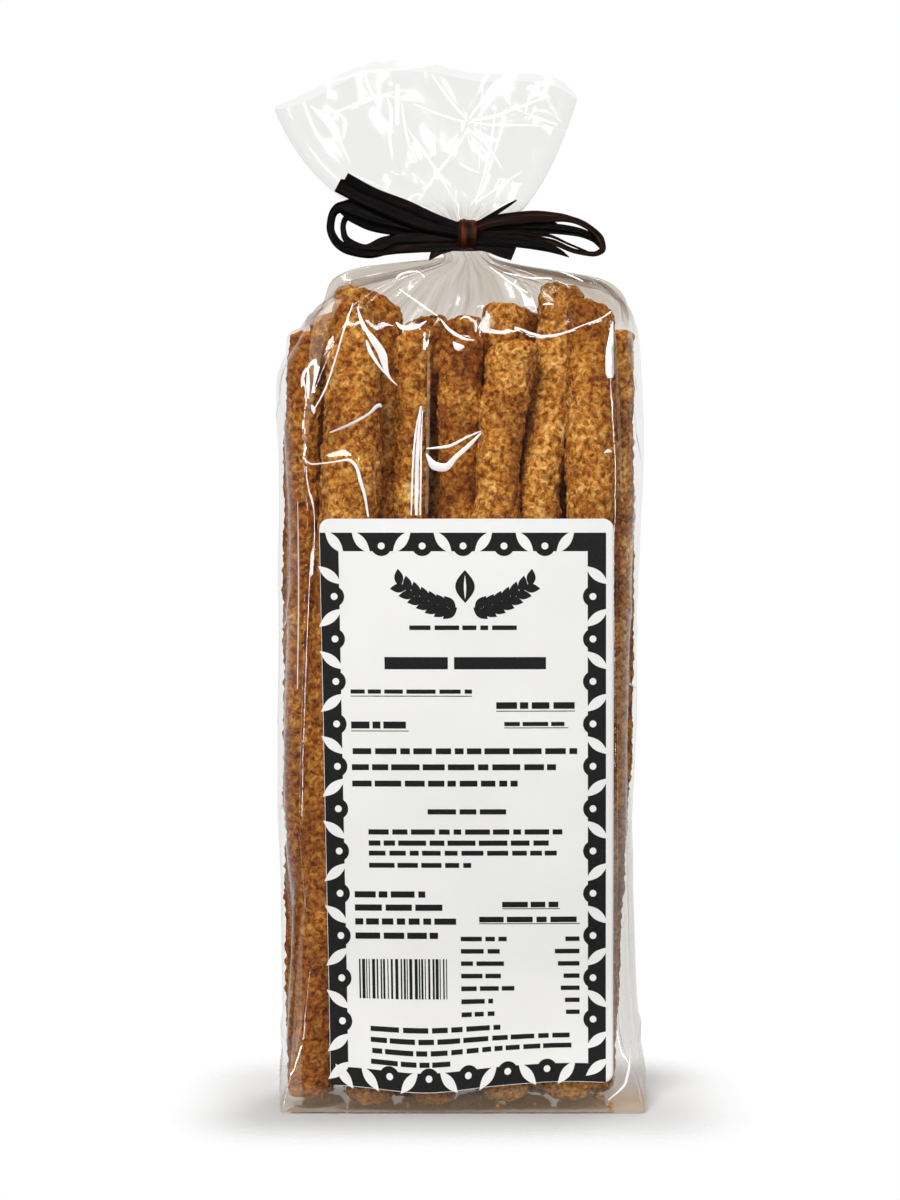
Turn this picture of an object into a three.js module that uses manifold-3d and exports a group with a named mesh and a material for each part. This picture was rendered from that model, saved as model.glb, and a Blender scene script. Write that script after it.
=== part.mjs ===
// A clear bag of wholemeal grissini, tied at the neck with a dark paper ribbon.
// Millimetres, +Z up, the front faces -Y. The origin is the middle of the flat bottom.
//
// bag     the outer form of the film: a block-bottomed body that the sticks fill, shoulders
//         drawn in over the stick ends, a round neck, and a flattened frill above the tie
// label   a paper sheet on the front that follows the bag's slight crown
// ribbon  one ribbon: the band round the neck, the knot, the bow's loops and its tails
import * as THREE from "three";
import { ParametricGeometry } from "three/addons/geometries/ParametricGeometry.js";
import { mergeVertices } from "three/addons/utils/BufferGeometryUtils.js";
import Module from "manifold-3d";

const wasm = await Module();
wasm.setup();

// Driving dimensions.
const SHOULDER_Z = 224;
const NECK_BOTTOM_Z = 248.6;
const NECK_TOP_Z = 257.4;
const NECK_RADIUS = 6.6;
const NECK_X = 1;
const TOUCH_GAP = 0.3;
const BASE_EDGE = 1.4;

// The silhouette from the front, as [height, edge], and the half depth at each height.
const LEFT_EDGE = [
  [0, -53.4], [14, -53.2], [43, -50.8], [89, -53.8], [171, -52.4], [210, -54],
  [SHOULDER_Z, -48.6], [237, -36.5], [244.5, -24], [NECK_BOTTOM_Z, NECK_X - NECK_RADIUS],
];
const RIGHT_EDGE = [
  [0, 53.8], [8, 54], [22, 52], [43, 50.6], [100, 49.4], [150, 51.2], [190, 52.7],
  [218, 52], [233, 49.6], [241, 40], [245.5, 26], [NECK_BOTTOM_Z, NECK_X + NECK_RADIUS],
];
const HALF_DEPTH = [
  [0, 25.4], [10, 25], [43, 23.6], [100, 24], [171, 23.8], [205, 24], [SHOULDER_Z, 22.4],
  [231, 19.6], [238, 15.6], [244.5, 11], [NECK_BOTTOM_Z, NECK_RADIUS],
];
const CORNER_RADIUS = [
  [0, 2.5], [171, 3], [210, 6], [SHOULDER_Z, 11], [238, 13],
  [244.5, 10.5], [NECK_BOTTOM_Z, NECK_RADIUS],
];
const SMALLEST_RADIUS = 0.5;

// How far the front panel crowns, and the side gussets bulge past the creases at their ends.
const FRONT_CROWN = [[0, 0.3], [43, 1.5], [171, 1.5], [215, 0.8], [238, 0]];
const BACK_CROWN_SHARE = 0.7;
const LEFT_BULGE = [[0, 0.8], [8, 2.6], [26, 5.4], [60, 6], [171, 6.5], [SHOULDER_Z, 5], [240, 0]];
const RIGHT_BULGE = [
  [0, 0.9], [8, 3], [26, 5.6], [60, 4.6], [100, 4], [171, 7], [SHOULDER_Z, 7.6], [234, 6], [246, 0],
];
const BULGE_POWER = 1.6;

// The film is drawn from the bag's section into the round neck between these heights.
const GATHER_Z = [240, NECK_BOTTOM_Z];

// The frill's rim: how high it is at each share of its width, from left to right.
const RIM_LEFT = -55;
const RIM_RIGHT = 33.8;
const RIM_HEIGHT = [
  [0, 291], [0.12, 294.5], [0.38, 303.6], [0.5, 303], [0.68, 300], [0.92, 298.6], [1, 294],
];

// The frill spreads early, rises late, is pinched flat half way, and has a dished mouth.
const FRILL_HALF_DEPTH = 9;
const FRILL_EARLY_REACH = 0.78;
const FRILL_PINCH = 0.3;
const FRILL_ROUND_SHARE = 0.35;
const FRILL_CORNER_SHARE = 0.98;
const FRILL_RISE = { middle: 0.5, less: 0.32 };
const FRILL_WAVE = { size: 3.6, count: 3.5, start: 0.6, from: 0.1 };
const FRILL_RIPPLE = { size: 1.1, count: 9, start: 1.2, from: 0.15 };
const FRILL_DISH = 8;
const DISH_POWER = 0.6;
const DISH_END_POWER = 6;
const DISH_STEPS = [0.35, 0.7, 1];
const FRILL_STEPS = 9;

// Sticks that press the film out from inside, by face: centre at the bottom and at the top.
const FRONT_STICKS = [[-44, -35], [-27, -25], [-10, -8], [6, 15], [22, 27], [37, 38.5]];
const BACK_STICKS = [[-42, -40], [-25, -24], [-8, -6], [9, 10], [26, 25], [42, 41]];
const SIDE_STICKS = [[-16, -14], [0, 0], [16, 14]];
const STICK_PITCH = 16;
const STICK_TOP_Z = 236;
const FRONT_RELIEF = 1.5;
const BACK_RELIEF = 1.3;
const SIDE_RELIEF = 1.1;
const RELIEF_FROM_Z = [4, 20];
const RELIEF_ABOVE_LABEL = [3, 14];

// Stick ends that hold the film up as tents: x, height, how far they push it.
const TENTS = [[-31, 233, 2.4], [-6, 226, 1.2], [14, 225, 1.2], [42, 229, 2]];
const TENT_SPREAD = 6;
const PLEATS = 15;
const PLEAT_DEPTH = 1.3;
const PLEATS_FROM_Z = [SHOULDER_Z, 238];
const PLEATS_TO_Z = [241, NECK_BOTTOM_Z - 0.4];

// The label, as the paper lies on the front.
const LABEL_WIDTH = 84.5;
const LABEL_BOTTOM_Z = 8.5;
const LABEL_TOP_Z = 171;
const LABEL_X = 1.2;
const LABEL_CORNER = 3.2;
const LABEL_THICKNESS = 0.35;
const LABEL_COLUMNS = 10;
const LABEL_ROWS = 24;

// The rings of the bag's body, closer together where its form changes faster.
const BODY_HEIGHTS = [8, 16, 28, 43, 60, 80, 103, 126, 148, 165, 175, 183, 191, 199, 207, 214];
const SHOULDER_HEIGHTS = [219, 223, 227, 231, 235, 239, 243, 247.3];

// The tie.
const BAND_THICKNESS = 1.5;
const BAND_HEIGHT = 7.6;
const BAND_BEVEL = { in: 0.4, up: 1.2 };
const BAND_GAP = TOUCH_GAP + 0.1;
const BAND_SIDES = 32;
const BOW_MIDDLE = new THREE.Vector3(1.4, -10.2, 253.2);
const KNOT = { width: 5.4, depth: 4.6, height: 8.6, bevel: 0.9, foot: 0.8, waist: 1.3, head: 0.9 };

// A smooth curve through [position, value] stations, level past both ends.
function through(stations) {
  const slope = (i, j) => (stations[j][1] - stations[i][1]) / (stations[j][0] - stations[i][0]);
  const last = stations.length - 1;
  const tangents = stations.map((_, i) => {
    if (i === 0) return slope(0, 1);
    if (i === last) return slope(last - 1, last);
    const [before, after] = [slope(i - 1, i), slope(i, i + 1)];
    return before * after <= 0 ? 0 : (2 * before * after) / (before + after);
  });
  return (at) => {
    if (at <= stations[0][0]) return stations[0][1];
    if (at >= stations[last][0]) return stations[last][1];
    const i = stations.findIndex(([position]) => position > at) - 1;
    const span = stations[i + 1][0] - stations[i][0];
    const t = (at - stations[i][0]) / span;
    const [t2, t3] = [t * t, t * t * t];
    return (
      (2 * t3 - 3 * t2 + 1) * stations[i][1] + (t3 - 2 * t2 + t) * span * tangents[i] +
      (3 * t2 - 2 * t3) * stations[i + 1][1] + (t3 - t2) * span * tangents[i + 1]
    );
  };
}

const leftEdge = through(LEFT_EDGE);
const rightEdge = through(RIGHT_EDGE);
const halfDepth = through(HALF_DEPTH);
const cornerRadius = through(CORNER_RADIUS);
const frontCrown = through(FRONT_CROWN);
const leftBulge = through(LEFT_BULGE);
const rightBulge = through(RIGHT_BULGE);
const rimHeight = through(RIM_HEIGHT);
const smooth = THREE.MathUtils.smoothstep;
const mix = THREE.MathUtils.lerp;

// How far the film dips between the sticks that it lies on, from 0 on a stick to 1 between two.
function dip(across, z, sticks) {
  const up = z / STICK_TOP_Z;
  const nearest = Math.min(...sticks.map(([low, high]) => Math.abs(across - mix(low, high, up))));
  const share = Math.min(nearest / (STICK_PITCH / 2), 1);
  return share * share;
}

// The front and back panels' ends, which are the creases where the side gussets start.
function panelEnds(z) {
  return [leftEdge(z) + leftBulge(z), rightEdge(z) - rightBulge(z)];
}

// How far a panel crowns at x, as a share of its crown in the middle.
function crowned(x, [left, right]) {
  const share = (2 * x - left - right) / (right - left);
  return Math.max(1 - share * share, 0);
}

// The front face without relief: where the label lies.
function frontPlain(x, z) {
  return -halfDepth(z) - frontCrown(z) * crowned(x, panelEnds(z));
}

// One turn round the bag: the front from left to right, the right side, the back, the left side.
// angle is where a step ends up once the film is gathered into a circle.
const FACE_STEPS = { front: 26, right: 6, back: 26, left: 6 };
const FACE_ANGLES = { front: -90, right: 0, back: 90, left: 180 };
const STRAIGHT_ANGLE = { front: 108, right: 44, back: 108, left: 44 };
const CORNER_STEPS = 4;
const CORNER_ANGLE = (360 - 2 * STRAIGHT_ANGLE.front - 2 * STRAIGHT_ANGLE.right) / 4;
const TURN = [];
for (const [face, steps] of Object.entries(FACE_STEPS)) {
  const spread = STRAIGHT_ANGLE[face];
  for (let i = 0; i < steps; i++) {
    const angle = FACE_ANGLES[face] + spread * (i / steps - 0.5);
    TURN.push({ face, share: i / steps, angle: THREE.MathUtils.degToRad(angle) });
  }
  for (let i = 0; i < CORNER_STEPS; i++) {
    const angle = FACE_ANGLES[face] + spread / 2 + (CORNER_ANGLE * i) / CORNER_STEPS;
    TURN.push({ face, corner: i / CORNER_STEPS, angle: THREE.MathUtils.degToRad(angle) });
  }
}
const FACES = {
  front: { along: [1, 0], out: [0, -1] },
  right: { along: [0, 1], out: [1, 0] },
  back: { along: [-1, 0], out: [0, 1] },
  left: { along: [0, -1], out: [-1, 0] },
};

// A point of that turn, for half sizes a and b and corner radius r, with the way out of the face.
function turnPoint(step, a, b, r) {
  const { along, out } = FACES[step.face];
  const run = along[0] ? a - r : b - r;
  const reach = along[0] ? b - r : a - r;
  if (step.corner === undefined) {
    const at = run * (2 * step.share - 1);
    return {
      x: along[0] * at + out[0] * (reach + r),
      y: along[1] * at + out[1] * (reach + r),
      out,
    };
  }
  const angle = (step.corner * Math.PI) / 2;
  const way = [0, 1].map((k) => along[k] * Math.sin(angle) + out[k] * Math.cos(angle));
  return {
    x: along[0] * run + out[0] * reach + r * way[0],
    y: along[1] * run + out[1] * reach + r * way[1],
    out: way,
  };
}

// The same point drawn part of the way, from 0 to 1, to its place on the round neck.
function gathered(p, step, share) {
  return {
    x: mix(p.x, NECK_RADIUS * Math.cos(step.angle), share),
    y: mix(p.y, NECK_RADIUS * Math.sin(step.angle), share),
    out: p.out,
  };
}

// The bag's body, shoulders and neck at one height.
function bodyPoint(step, z, inset) {
  const ends = panelEnds(z);
  const middle = (ends[0] + ends[1]) / 2;
  const a = (ends[1] - ends[0]) / 2 - inset;
  const b = halfDepth(z) - inset;
  const flat = turnPoint(step, a, b, Math.max(cornerRadius(z) - inset, SMALLEST_RADIUS));
  const p = gathered(flat, step, smooth(z, ...GATHER_Z));
  const x = middle + p.x;
  const onFront = Math.max(-p.out[1], 0);
  const onBack = Math.max(p.out[1], 0);
  const onSide = Math.abs(p.out[0]);

  const crown = frontCrown(z) * crowned(x, ends);
  let out = onFront * crown + onBack * BACK_CROWN_SHARE * crown;
  const relief = (1 - smooth(z, SHOULDER_Z, STICK_TOP_Z)) * smooth(z, ...RELIEF_FROM_Z);
  const aboveLabel = smooth(z, ...RELIEF_ABOVE_LABEL.map((above) => LABEL_TOP_Z + above));
  out -= onFront * FRONT_RELIEF * dip(x, z, FRONT_STICKS) * relief * aboveLabel;
  out -= onBack * BACK_RELIEF * dip(x, z, BACK_STICKS) * relief;
  out -= onSide * SIDE_RELIEF * dip(p.y, z, SIDE_STICKS) * relief;
  const pleated = smooth(z, ...PLEATS_FROM_Z) * (1 - smooth(z, ...PLEATS_TO_Z));
  out += PLEAT_DEPTH * Math.sin(PLEATS * Math.atan2(p.y, p.x)) * pleated;
  for (const [tentX, tentZ, push] of TENTS) {
    const far = ((x - tentX) ** 2 + (z - tentZ) ** 2) / (2 * TENT_SPREAD ** 2);
    out += onFront * push * Math.exp(-far);
  }

  const side = p.out[0] * (p.out[0] < 0 ? leftBulge(z) : rightBulge(z));
  const bulge = side * (1 - Math.min(Math.abs(p.y) / b, 1) ** BULGE_POWER);
  return new THREE.Vector3(x + p.out[0] * out + bulge, p.y + p.out[1] * out, z);
}

// The frill at share t of the way from the neck to its rim.
function frillPoint(step, t, inward) {
  const spread = (rim, neck) => {
    const early = FRILL_EARLY_REACH * rim;
    return mix(mix(neck, early, t), mix(early, rim, t), t);
  };
  const left = spread(RIM_LEFT, NECK_X - NECK_RADIUS);
  const right = spread(RIM_RIGHT, NECK_X + NECK_RADIUS);
  const a = (right - left) / 2;
  const pinched = 1 - FRILL_PINCH * Math.sin(Math.PI * Math.min(2 * t, 1));
  const b = mix(NECK_RADIUS, FRILL_HALF_DEPTH, t) * pinched;
  const flat = turnPoint(step, a, b, b * FRILL_CORNER_SHARE);
  const p = gathered(flat, step, 1 - smooth(t, 0, FRILL_ROUND_SHARE));
  const across = THREE.MathUtils.clamp((p.x + a) / (2 * a), 0, 1);
  const toEnd = Math.abs(2 * across - 1);
  const bend = FRILL_RISE.middle - FRILL_RISE.less * toEnd;
  const rise = 2 * bend * t * (1 - t) + t * t;
  const swing = ({ size, count, start, from }, side) =>
    size * Math.sin(2 * Math.PI * count * across + start + side) * smooth(t, from, 1);
  const wave = swing(FRILL_WAVE, 0);
  const ripple = swing(FRILL_RIPPLE, p.out[1]);
  const top = mix(NECK_TOP_Z, rimHeight(across), rise);
  const dish = FRILL_DISH * inward ** DISH_POWER * (1 - toEnd ** DISH_END_POWER);
  return new THREE.Vector3(
    (left + right) / 2 + p.x,
    p.y * (1 - inward) + wave + ripple * p.out[1] * (1 - inward),
    top - dish,
  );
}

// The bag's rings from the middle of the bottom to the bottom of the frill's mouth.
function bagRings() {
  const rings = [() => new THREE.Vector3(0, 0, 0)];
  rings.push((step) => bodyPoint(step, 0, BASE_EDGE));
  for (const z of [BASE_EDGE, ...BODY_HEIGHTS, ...SHOULDER_HEIGHTS, NECK_BOTTOM_Z, NECK_TOP_Z]) {
    rings.push((step) => bodyPoint(step, z, 0));
  }
  for (let i = 1; i <= FRILL_STEPS; i++) {
    rings.push((step) => frillPoint(step, i / FRILL_STEPS, 0));
  }
  for (const inward of DISH_STEPS) rings.push((step) => frillPoint(step, 1, inward));
  return rings;
}

function makeBag() {
  const rings = bagRings();
  const geometry = new ParametricGeometry(
    (u, v, target) => {
      const step = TURN[Math.round(u * TURN.length) % TURN.length];
      target.copy(rings[Math.round(v * (rings.length - 1))](step));
    },
    TURN.length,
    rings.length - 1,
  );
  const film = new THREE.MeshStandardMaterial({
    color: 0xe6e6e2, roughness: 0.08, metalness: 0, transparent: true, opacity: 0.3,
  });
  const mesh = new THREE.Mesh(geometry, film);
  mesh.name = "bag";
  return mesh;
}

// A box of thin paper whose columns and rows are bent onto the front, with its corners rounded.
function makeLabel() {
  const height = LABEL_TOP_Z - LABEL_BOTTOM_Z;
  const geometry = new THREE.BoxGeometry(LABEL_WIDTH, LABEL_THICKNESS, height, LABEL_COLUMNS, 1, LABEL_ROWS);
  const place = geometry.getAttribute("position");
  for (let i = 0; i < place.count; i++) {
    const share = place.getZ(i) / (height / 2);
    const z = (LABEL_TOP_Z + LABEL_BOTTOM_Z) / 2 + Math.sin((share * Math.PI) / 2) * (height / 2);
    const toEnd = Math.min(z - LABEL_BOTTOM_Z, LABEL_TOP_Z - z, LABEL_CORNER);
    const cut = LABEL_CORNER - Math.sqrt(LABEL_CORNER ** 2 - (LABEL_CORNER - toEnd) ** 2);
    const x = LABEL_X + place.getX(i) * (1 - (2 * cut) / LABEL_WIDTH);
    const y = frontPlain(x, z) - TOUCH_GAP - LABEL_THICKNESS / 2 + place.getY(i);
    place.setXYZ(i, x, y, z);
  }
  geometry.computeVertexNormals();
  const paper = new THREE.MeshStandardMaterial({ color: 0xf1f0ee, roughness: 0.6, metalness: 0 });
  const mesh = new THREE.Mesh(geometry, paper);
  mesh.name = "label";
  return mesh;
}

// A closed three.js geometry as a solid that can be joined, and back.
function solidOf(geometry) {
  const bare = new THREE.BufferGeometry();
  bare.setAttribute("position", geometry.getAttribute("position"));
  if (geometry.index) bare.setIndex(geometry.index);
  const merged = mergeVertices(bare, 1e-3);
  const vertProperties = new Float32Array(merged.getAttribute("position").array);
  const triVerts = new Uint32Array(merged.index.array);
  return new wasm.Manifold(new wasm.Mesh({ numProp: 3, vertProperties, triVerts }));
}

function geometryOf(solid) {
  const { vertProperties, triVerts } = solid.getMesh();
  const geometry = new THREE.BufferGeometry();
  geometry.setAttribute("position", new THREE.BufferAttribute(vertProperties, 3));
  geometry.setIndex(new THREE.BufferAttribute(triVerts, 1));
  geometry.computeVertexNormals();
  return geometry;
}

// A flat strip along a path. deep is its size front to back, tall its size in the bow's plane.
function strip(path, deep, tall, steps) {
  const section = new THREE.Shape();
  section.moveTo(-deep / 2, -tall / 2);
  section.lineTo(deep / 2, -tall / 2);
  section.lineTo(deep / 2, tall / 2);
  section.lineTo(-deep / 2, tall / 2);
  section.closePath();
  const points = path.map(([x, forward, z]) => new THREE.Vector3(x, BOW_MIDDLE.y - forward, z));
  const curve = new THREE.CatmullRomCurve3(points, false, "centripetal");
  return new THREE.ExtrudeGeometry(section, { steps, extrudePath: curve });
}

// The bow's strips, each from the knot: x, how far it stands forward, height.
const BOW_STRIPS = [
  // The left loop, out along the top and back along the bottom.
  { deep: 3.4, tall: 1.3, steps: 30, path: [
    [0.5, 0, 253.6], [-14.5, 1.8, 256.6], [-27.5, 3.6, 260.4], [-33.4, 4.6, 263], [-36.9, 4.6, 259.6],
    [-37.6, 4.2, 254.6], [-35.4, 4, 250.2], [-29.5, 3.4, 248], [-18, 2.2, 248.6], [0.5, 0, 252.4]] },
  // The wide left tail that lies over the loop.
  { deep: 0.9, tall: 4.6, steps: 10, path: [[0.8, 1.2, 254.2], [-10, 2.4, 256.8], [-21, 4, 261.4], [-34, 6, 268]] },
  // The right loop and the one inside it.
  { deep: 3.4, tall: 1.3, steps: 30, path: [
    [2.4, 0, 254.8], [14.3, 1.4, 257.6], [24, 2.6, 258.6], [33, 3.4, 256.8], [38.8, 4, 253.2], [40.6, 4, 249.6],
    [38.4, 3.6, 247.8], [31, 2.8, 249.8], [18, 1.4, 252], [2.4, 0, 252.8]] },
  { deep: 2.6, tall: 1.2, steps: 22, path: [
    [2.4, -0.8, 253.8], [15, 0.4, 255], [27, 1.2, 254.8], [35, 1.8, 251.6], [33.4, 1.8, 249.2],
    [24, 1.2, 250.2], [2.4, -0.8, 252.2]] },
  // Tails on the right: the pointed one, the short broad one and the thin one that points up.
  { deep: 0.9, tall: 1.9, steps: 8, path: [[2.2, 1, 252.8], [14.3, 3, 250.8], [24, 4.6, 248.8], [31.4, 5.6, 246.6]] },
  { deep: 0.9, tall: 3.4, steps: 5, path: [[2.2, 0.8, 251.6], [8.8, 2.2, 249.8], [15.2, 4.2, 247.4]] },
  { deep: 0.9, tall: 1.2, steps: 5, path: [[2.4, 0.6, 255.6], [8.8, 0.2, 259.2], [15.8, 0.4, 262.8]] },
  // The short end below the knot on the left.
  { deep: 0.9, tall: 3, steps: 4, path: [[0.8, 0.6, 251.8], [-5.7, 2, 249], [-9.8, 3.4, 246.2]] },
];

// The ring of ribbon round the neck.
function makeBand() {
  const inner = NECK_RADIUS + BAND_GAP;
  const outer = inner + BAND_THICKNESS;
  const half = BAND_HEIGHT / 2;
  const outline = [
    [inner, -half], [outer - BAND_BEVEL.in, -half], [outer, BAND_BEVEL.up - half],
    [outer, half - BAND_BEVEL.up], [outer - BAND_BEVEL.in, half], [inner, half], [inner, -half],
  ].map(([r, z]) => new THREE.Vector2(r, z));
  const band = new THREE.LatheGeometry(outline, BAND_SIDES);
  band.rotateX(Math.PI / 2);
  band.translate(NECK_X, 0, (NECK_BOTTOM_Z + NECK_TOP_Z) / 2);
  return band;
}

// The knot: a bevelled block whose sides swell at the waist.
function makeKnot() {
  const { width, depth, height, bevel, foot, waist, head } = KNOT;
  const face = new THREE.Shape();
  const [w, h] = [width / 2 - bevel, height / 2 - bevel];
  face.moveTo(-w * foot, -h);
  face.lineTo(w * foot, -h);
  face.quadraticCurveTo(w * waist, 0, w * head, h);
  face.lineTo(-w * head, h);
  face.quadraticCurveTo(-w * waist, 0, -w * foot, -h);
  const knot = new THREE.ExtrudeGeometry(face, {
    depth: depth - 2 * bevel, bevelThickness: bevel, bevelSize: bevel, bevelSegments: 2, curveSegments: 6,
  });
  knot.rotateX(Math.PI / 2);
  knot.translate(BOW_MIDDLE.x, BOW_MIDDLE.y + depth / 2 - bevel, BOW_MIDDLE.z);
  return knot;
}

function makeRibbon() {
  let ribbon = solidOf(makeBand()).add(solidOf(makeKnot()));
  for (const { path, deep, tall, steps } of BOW_STRIPS) {
    ribbon = ribbon.add(solidOf(strip(path, deep, tall, steps)));
  }
  const paper = new THREE.MeshStandardMaterial({ color: 0x17100d, roughness: 0.45, metalness: 0 });
  const mesh = new THREE.Mesh(geometryOf(ribbon), paper);
  mesh.name = "ribbon";
  return mesh;
}

const pack = new THREE.Group();
pack.add(makeBag(), makeLabel(), makeRibbon());

export default pack;
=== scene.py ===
import math

import bmesh
import bpy
import numpy as np
from bpy.props import FloatProperty, IntProperty, PointerProperty, StringProperty
from bpy.types import Operator, Panel, PropertyGroup
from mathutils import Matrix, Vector
from mathutils.bvhtree import BVHTree


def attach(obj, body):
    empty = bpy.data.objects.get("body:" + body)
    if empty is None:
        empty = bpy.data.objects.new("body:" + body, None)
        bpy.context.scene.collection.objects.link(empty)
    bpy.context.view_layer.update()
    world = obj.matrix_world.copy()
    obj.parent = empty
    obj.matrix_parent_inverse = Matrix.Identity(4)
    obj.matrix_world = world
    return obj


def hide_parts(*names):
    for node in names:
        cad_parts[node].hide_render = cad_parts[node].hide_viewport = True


bl_info = {
    "name": "Bag of grissini",
    "version": (1, 0, 0),
    "blender": (4, 5, 0),
    "location": "3D View > Sidebar > Grissini",
    "description": "Adds the looks of a tied film bag of breadsticks round its packed frame",
    "category": "Add Mesh",
}

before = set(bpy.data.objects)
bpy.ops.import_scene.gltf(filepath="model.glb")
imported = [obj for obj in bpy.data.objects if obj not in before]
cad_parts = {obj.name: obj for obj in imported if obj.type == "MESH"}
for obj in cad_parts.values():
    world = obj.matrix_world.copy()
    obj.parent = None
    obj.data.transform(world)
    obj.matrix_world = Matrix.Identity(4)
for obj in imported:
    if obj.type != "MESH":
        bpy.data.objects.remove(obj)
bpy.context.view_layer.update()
BODY = "root"
MM = 0.001


# Sizes that the solids share, in the same words as the part's source.

SHOULDER_Z = 224.0
NECK_BOTTOM_Z = 248.6
NECK_TOP_Z = 257.4
NECK_MIDDLE_Z = (NECK_BOTTOM_Z + NECK_TOP_Z) / 2
NECK_RADIUS = 6.6
NECK_X = 1.0
LEFT_EDGE = [
    (0, -53.4), (14, -53.2), (43, -50.8), (89, -53.8), (171, -52.4), (210, -54),
    (SHOULDER_Z, -48.6), (237, -36.5), (244.5, -24), (NECK_BOTTOM_Z, NECK_X - NECK_RADIUS),
]
RIGHT_EDGE = [
    (0, 53.8), (8, 54), (22, 52), (43, 50.6), (100, 49.4), (150, 51.2), (190, 52.7),
    (218, 52), (233, 49.6), (241, 40), (245.5, 26), (NECK_BOTTOM_Z, NECK_X + NECK_RADIUS),
]
HALF_DEPTH = [
    (0, 25.4), (10, 25), (43, 23.6), (100, 24), (171, 23.8), (205, 24), (SHOULDER_Z, 22.4),
    (231, 19.6), (238, 15.6), (244.5, 11), (NECK_BOTTOM_Z, NECK_RADIUS),
]
CORNER_RADIUS = [
    (0, 2.5), (171, 3), (210, 6), (SHOULDER_Z, 11), (238, 13), (244.5, 10.5), (NECK_BOTTOM_Z, NECK_RADIUS),
]
FRONT_CROWN = [(0, 0.3), (43, 1.5), (171, 1.5), (215, 0.8), (238, 0)]
BACK_CROWN_SHARE = 0.7
LEFT_BULGE = [(0, 0.8), (8, 2.6), (26, 5.4), (60, 6), (171, 6.5), (SHOULDER_Z, 5), (240, 0)]
RIGHT_BULGE = [(0, 0.9), (8, 3), (26, 5.6), (60, 4.6), (100, 4), (171, 7), (SHOULDER_Z, 7.6), (234, 6),
               (246, 0)]
BULGE_POWER = 1.6
RIM_LEFT = -55.0
RIM_RIGHT = 33.8
RIM_HEIGHT = [(0, 291), (0.12, 294.5), (0.38, 303.6), (0.5, 303), (0.68, 300), (0.92, 298.6), (1, 294)]
LABEL_WIDTH = 84.5
LABEL_BOTTOM_Z = 8.5
LABEL_TOP_Z = 171.0
LABEL_X = 1.2
BOW_MIDDLE = (1.4, -10.2, 253.2)


def through(stations):
    """A smooth curve through (position, value) stations, level past both ends."""
    at = np.array([s[0] for s in stations], float)
    value = np.array([s[1] for s in stations], float)
    slope = np.diff(value) / np.diff(at)
    tangent = np.empty(len(at))
    tangent[0] = slope[0]
    tangent[-1] = slope[-1]
    before, after = slope[:-1], slope[1:]
    both = np.where(before * after > 0, before + after, 1)
    tangent[1:-1] = np.where(before * after > 0, 2 * before * after / both, 0)

    def curve(where):
        where = np.clip(where, at[0], at[-1])
        i = np.clip(np.searchsorted(at, where, side="right") - 1, 0, len(at) - 2)
        span = at[i + 1] - at[i]
        t = (where - at[i]) / span
        t2, t3 = t * t, t * t * t
        return (
            (2 * t3 - 3 * t2 + 1) * value[i] + (t3 - 2 * t2 + t) * span * tangent[i]
            + (3 * t2 - 2 * t3) * value[i + 1] + (t3 - t2) * span * tangent[i + 1]
        )

    return curve


left_edge = through(LEFT_EDGE)
right_edge = through(RIGHT_EDGE)
half_depth = through(HALF_DEPTH)
corner_radius = through(CORNER_RADIUS)
front_crown = through(FRONT_CROWN)
left_bulge = through(LEFT_BULGE)
right_bulge = through(RIGHT_BULGE)
rim_height = through(RIM_HEIGHT)


def smooth(value, low, high):
    t = np.clip((value - low) / (high - low), 0, 1)
    return t * t * (3 - 2 * t)


def mix(a, b, share):
    return a + (b - a) * share


def panel_ends(z):
    """The creases at which the front and back panels end and the side gussets start."""
    return left_edge(z) + left_bulge(z), right_edge(z) - right_bulge(z)


def crowned(x, ends):
    share = (2 * x - ends[0] - ends[1]) / (ends[1] - ends[0])
    return np.maximum(1 - share * share, 0)


def front_plain(x, z):
    """The film's front where the label lies."""
    return -half_depth(z) - front_crown(z) * crowned(x, panel_ends(z))


# The grissini: x, y, height and radius from the foot to the top, and how far the top slants.

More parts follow.
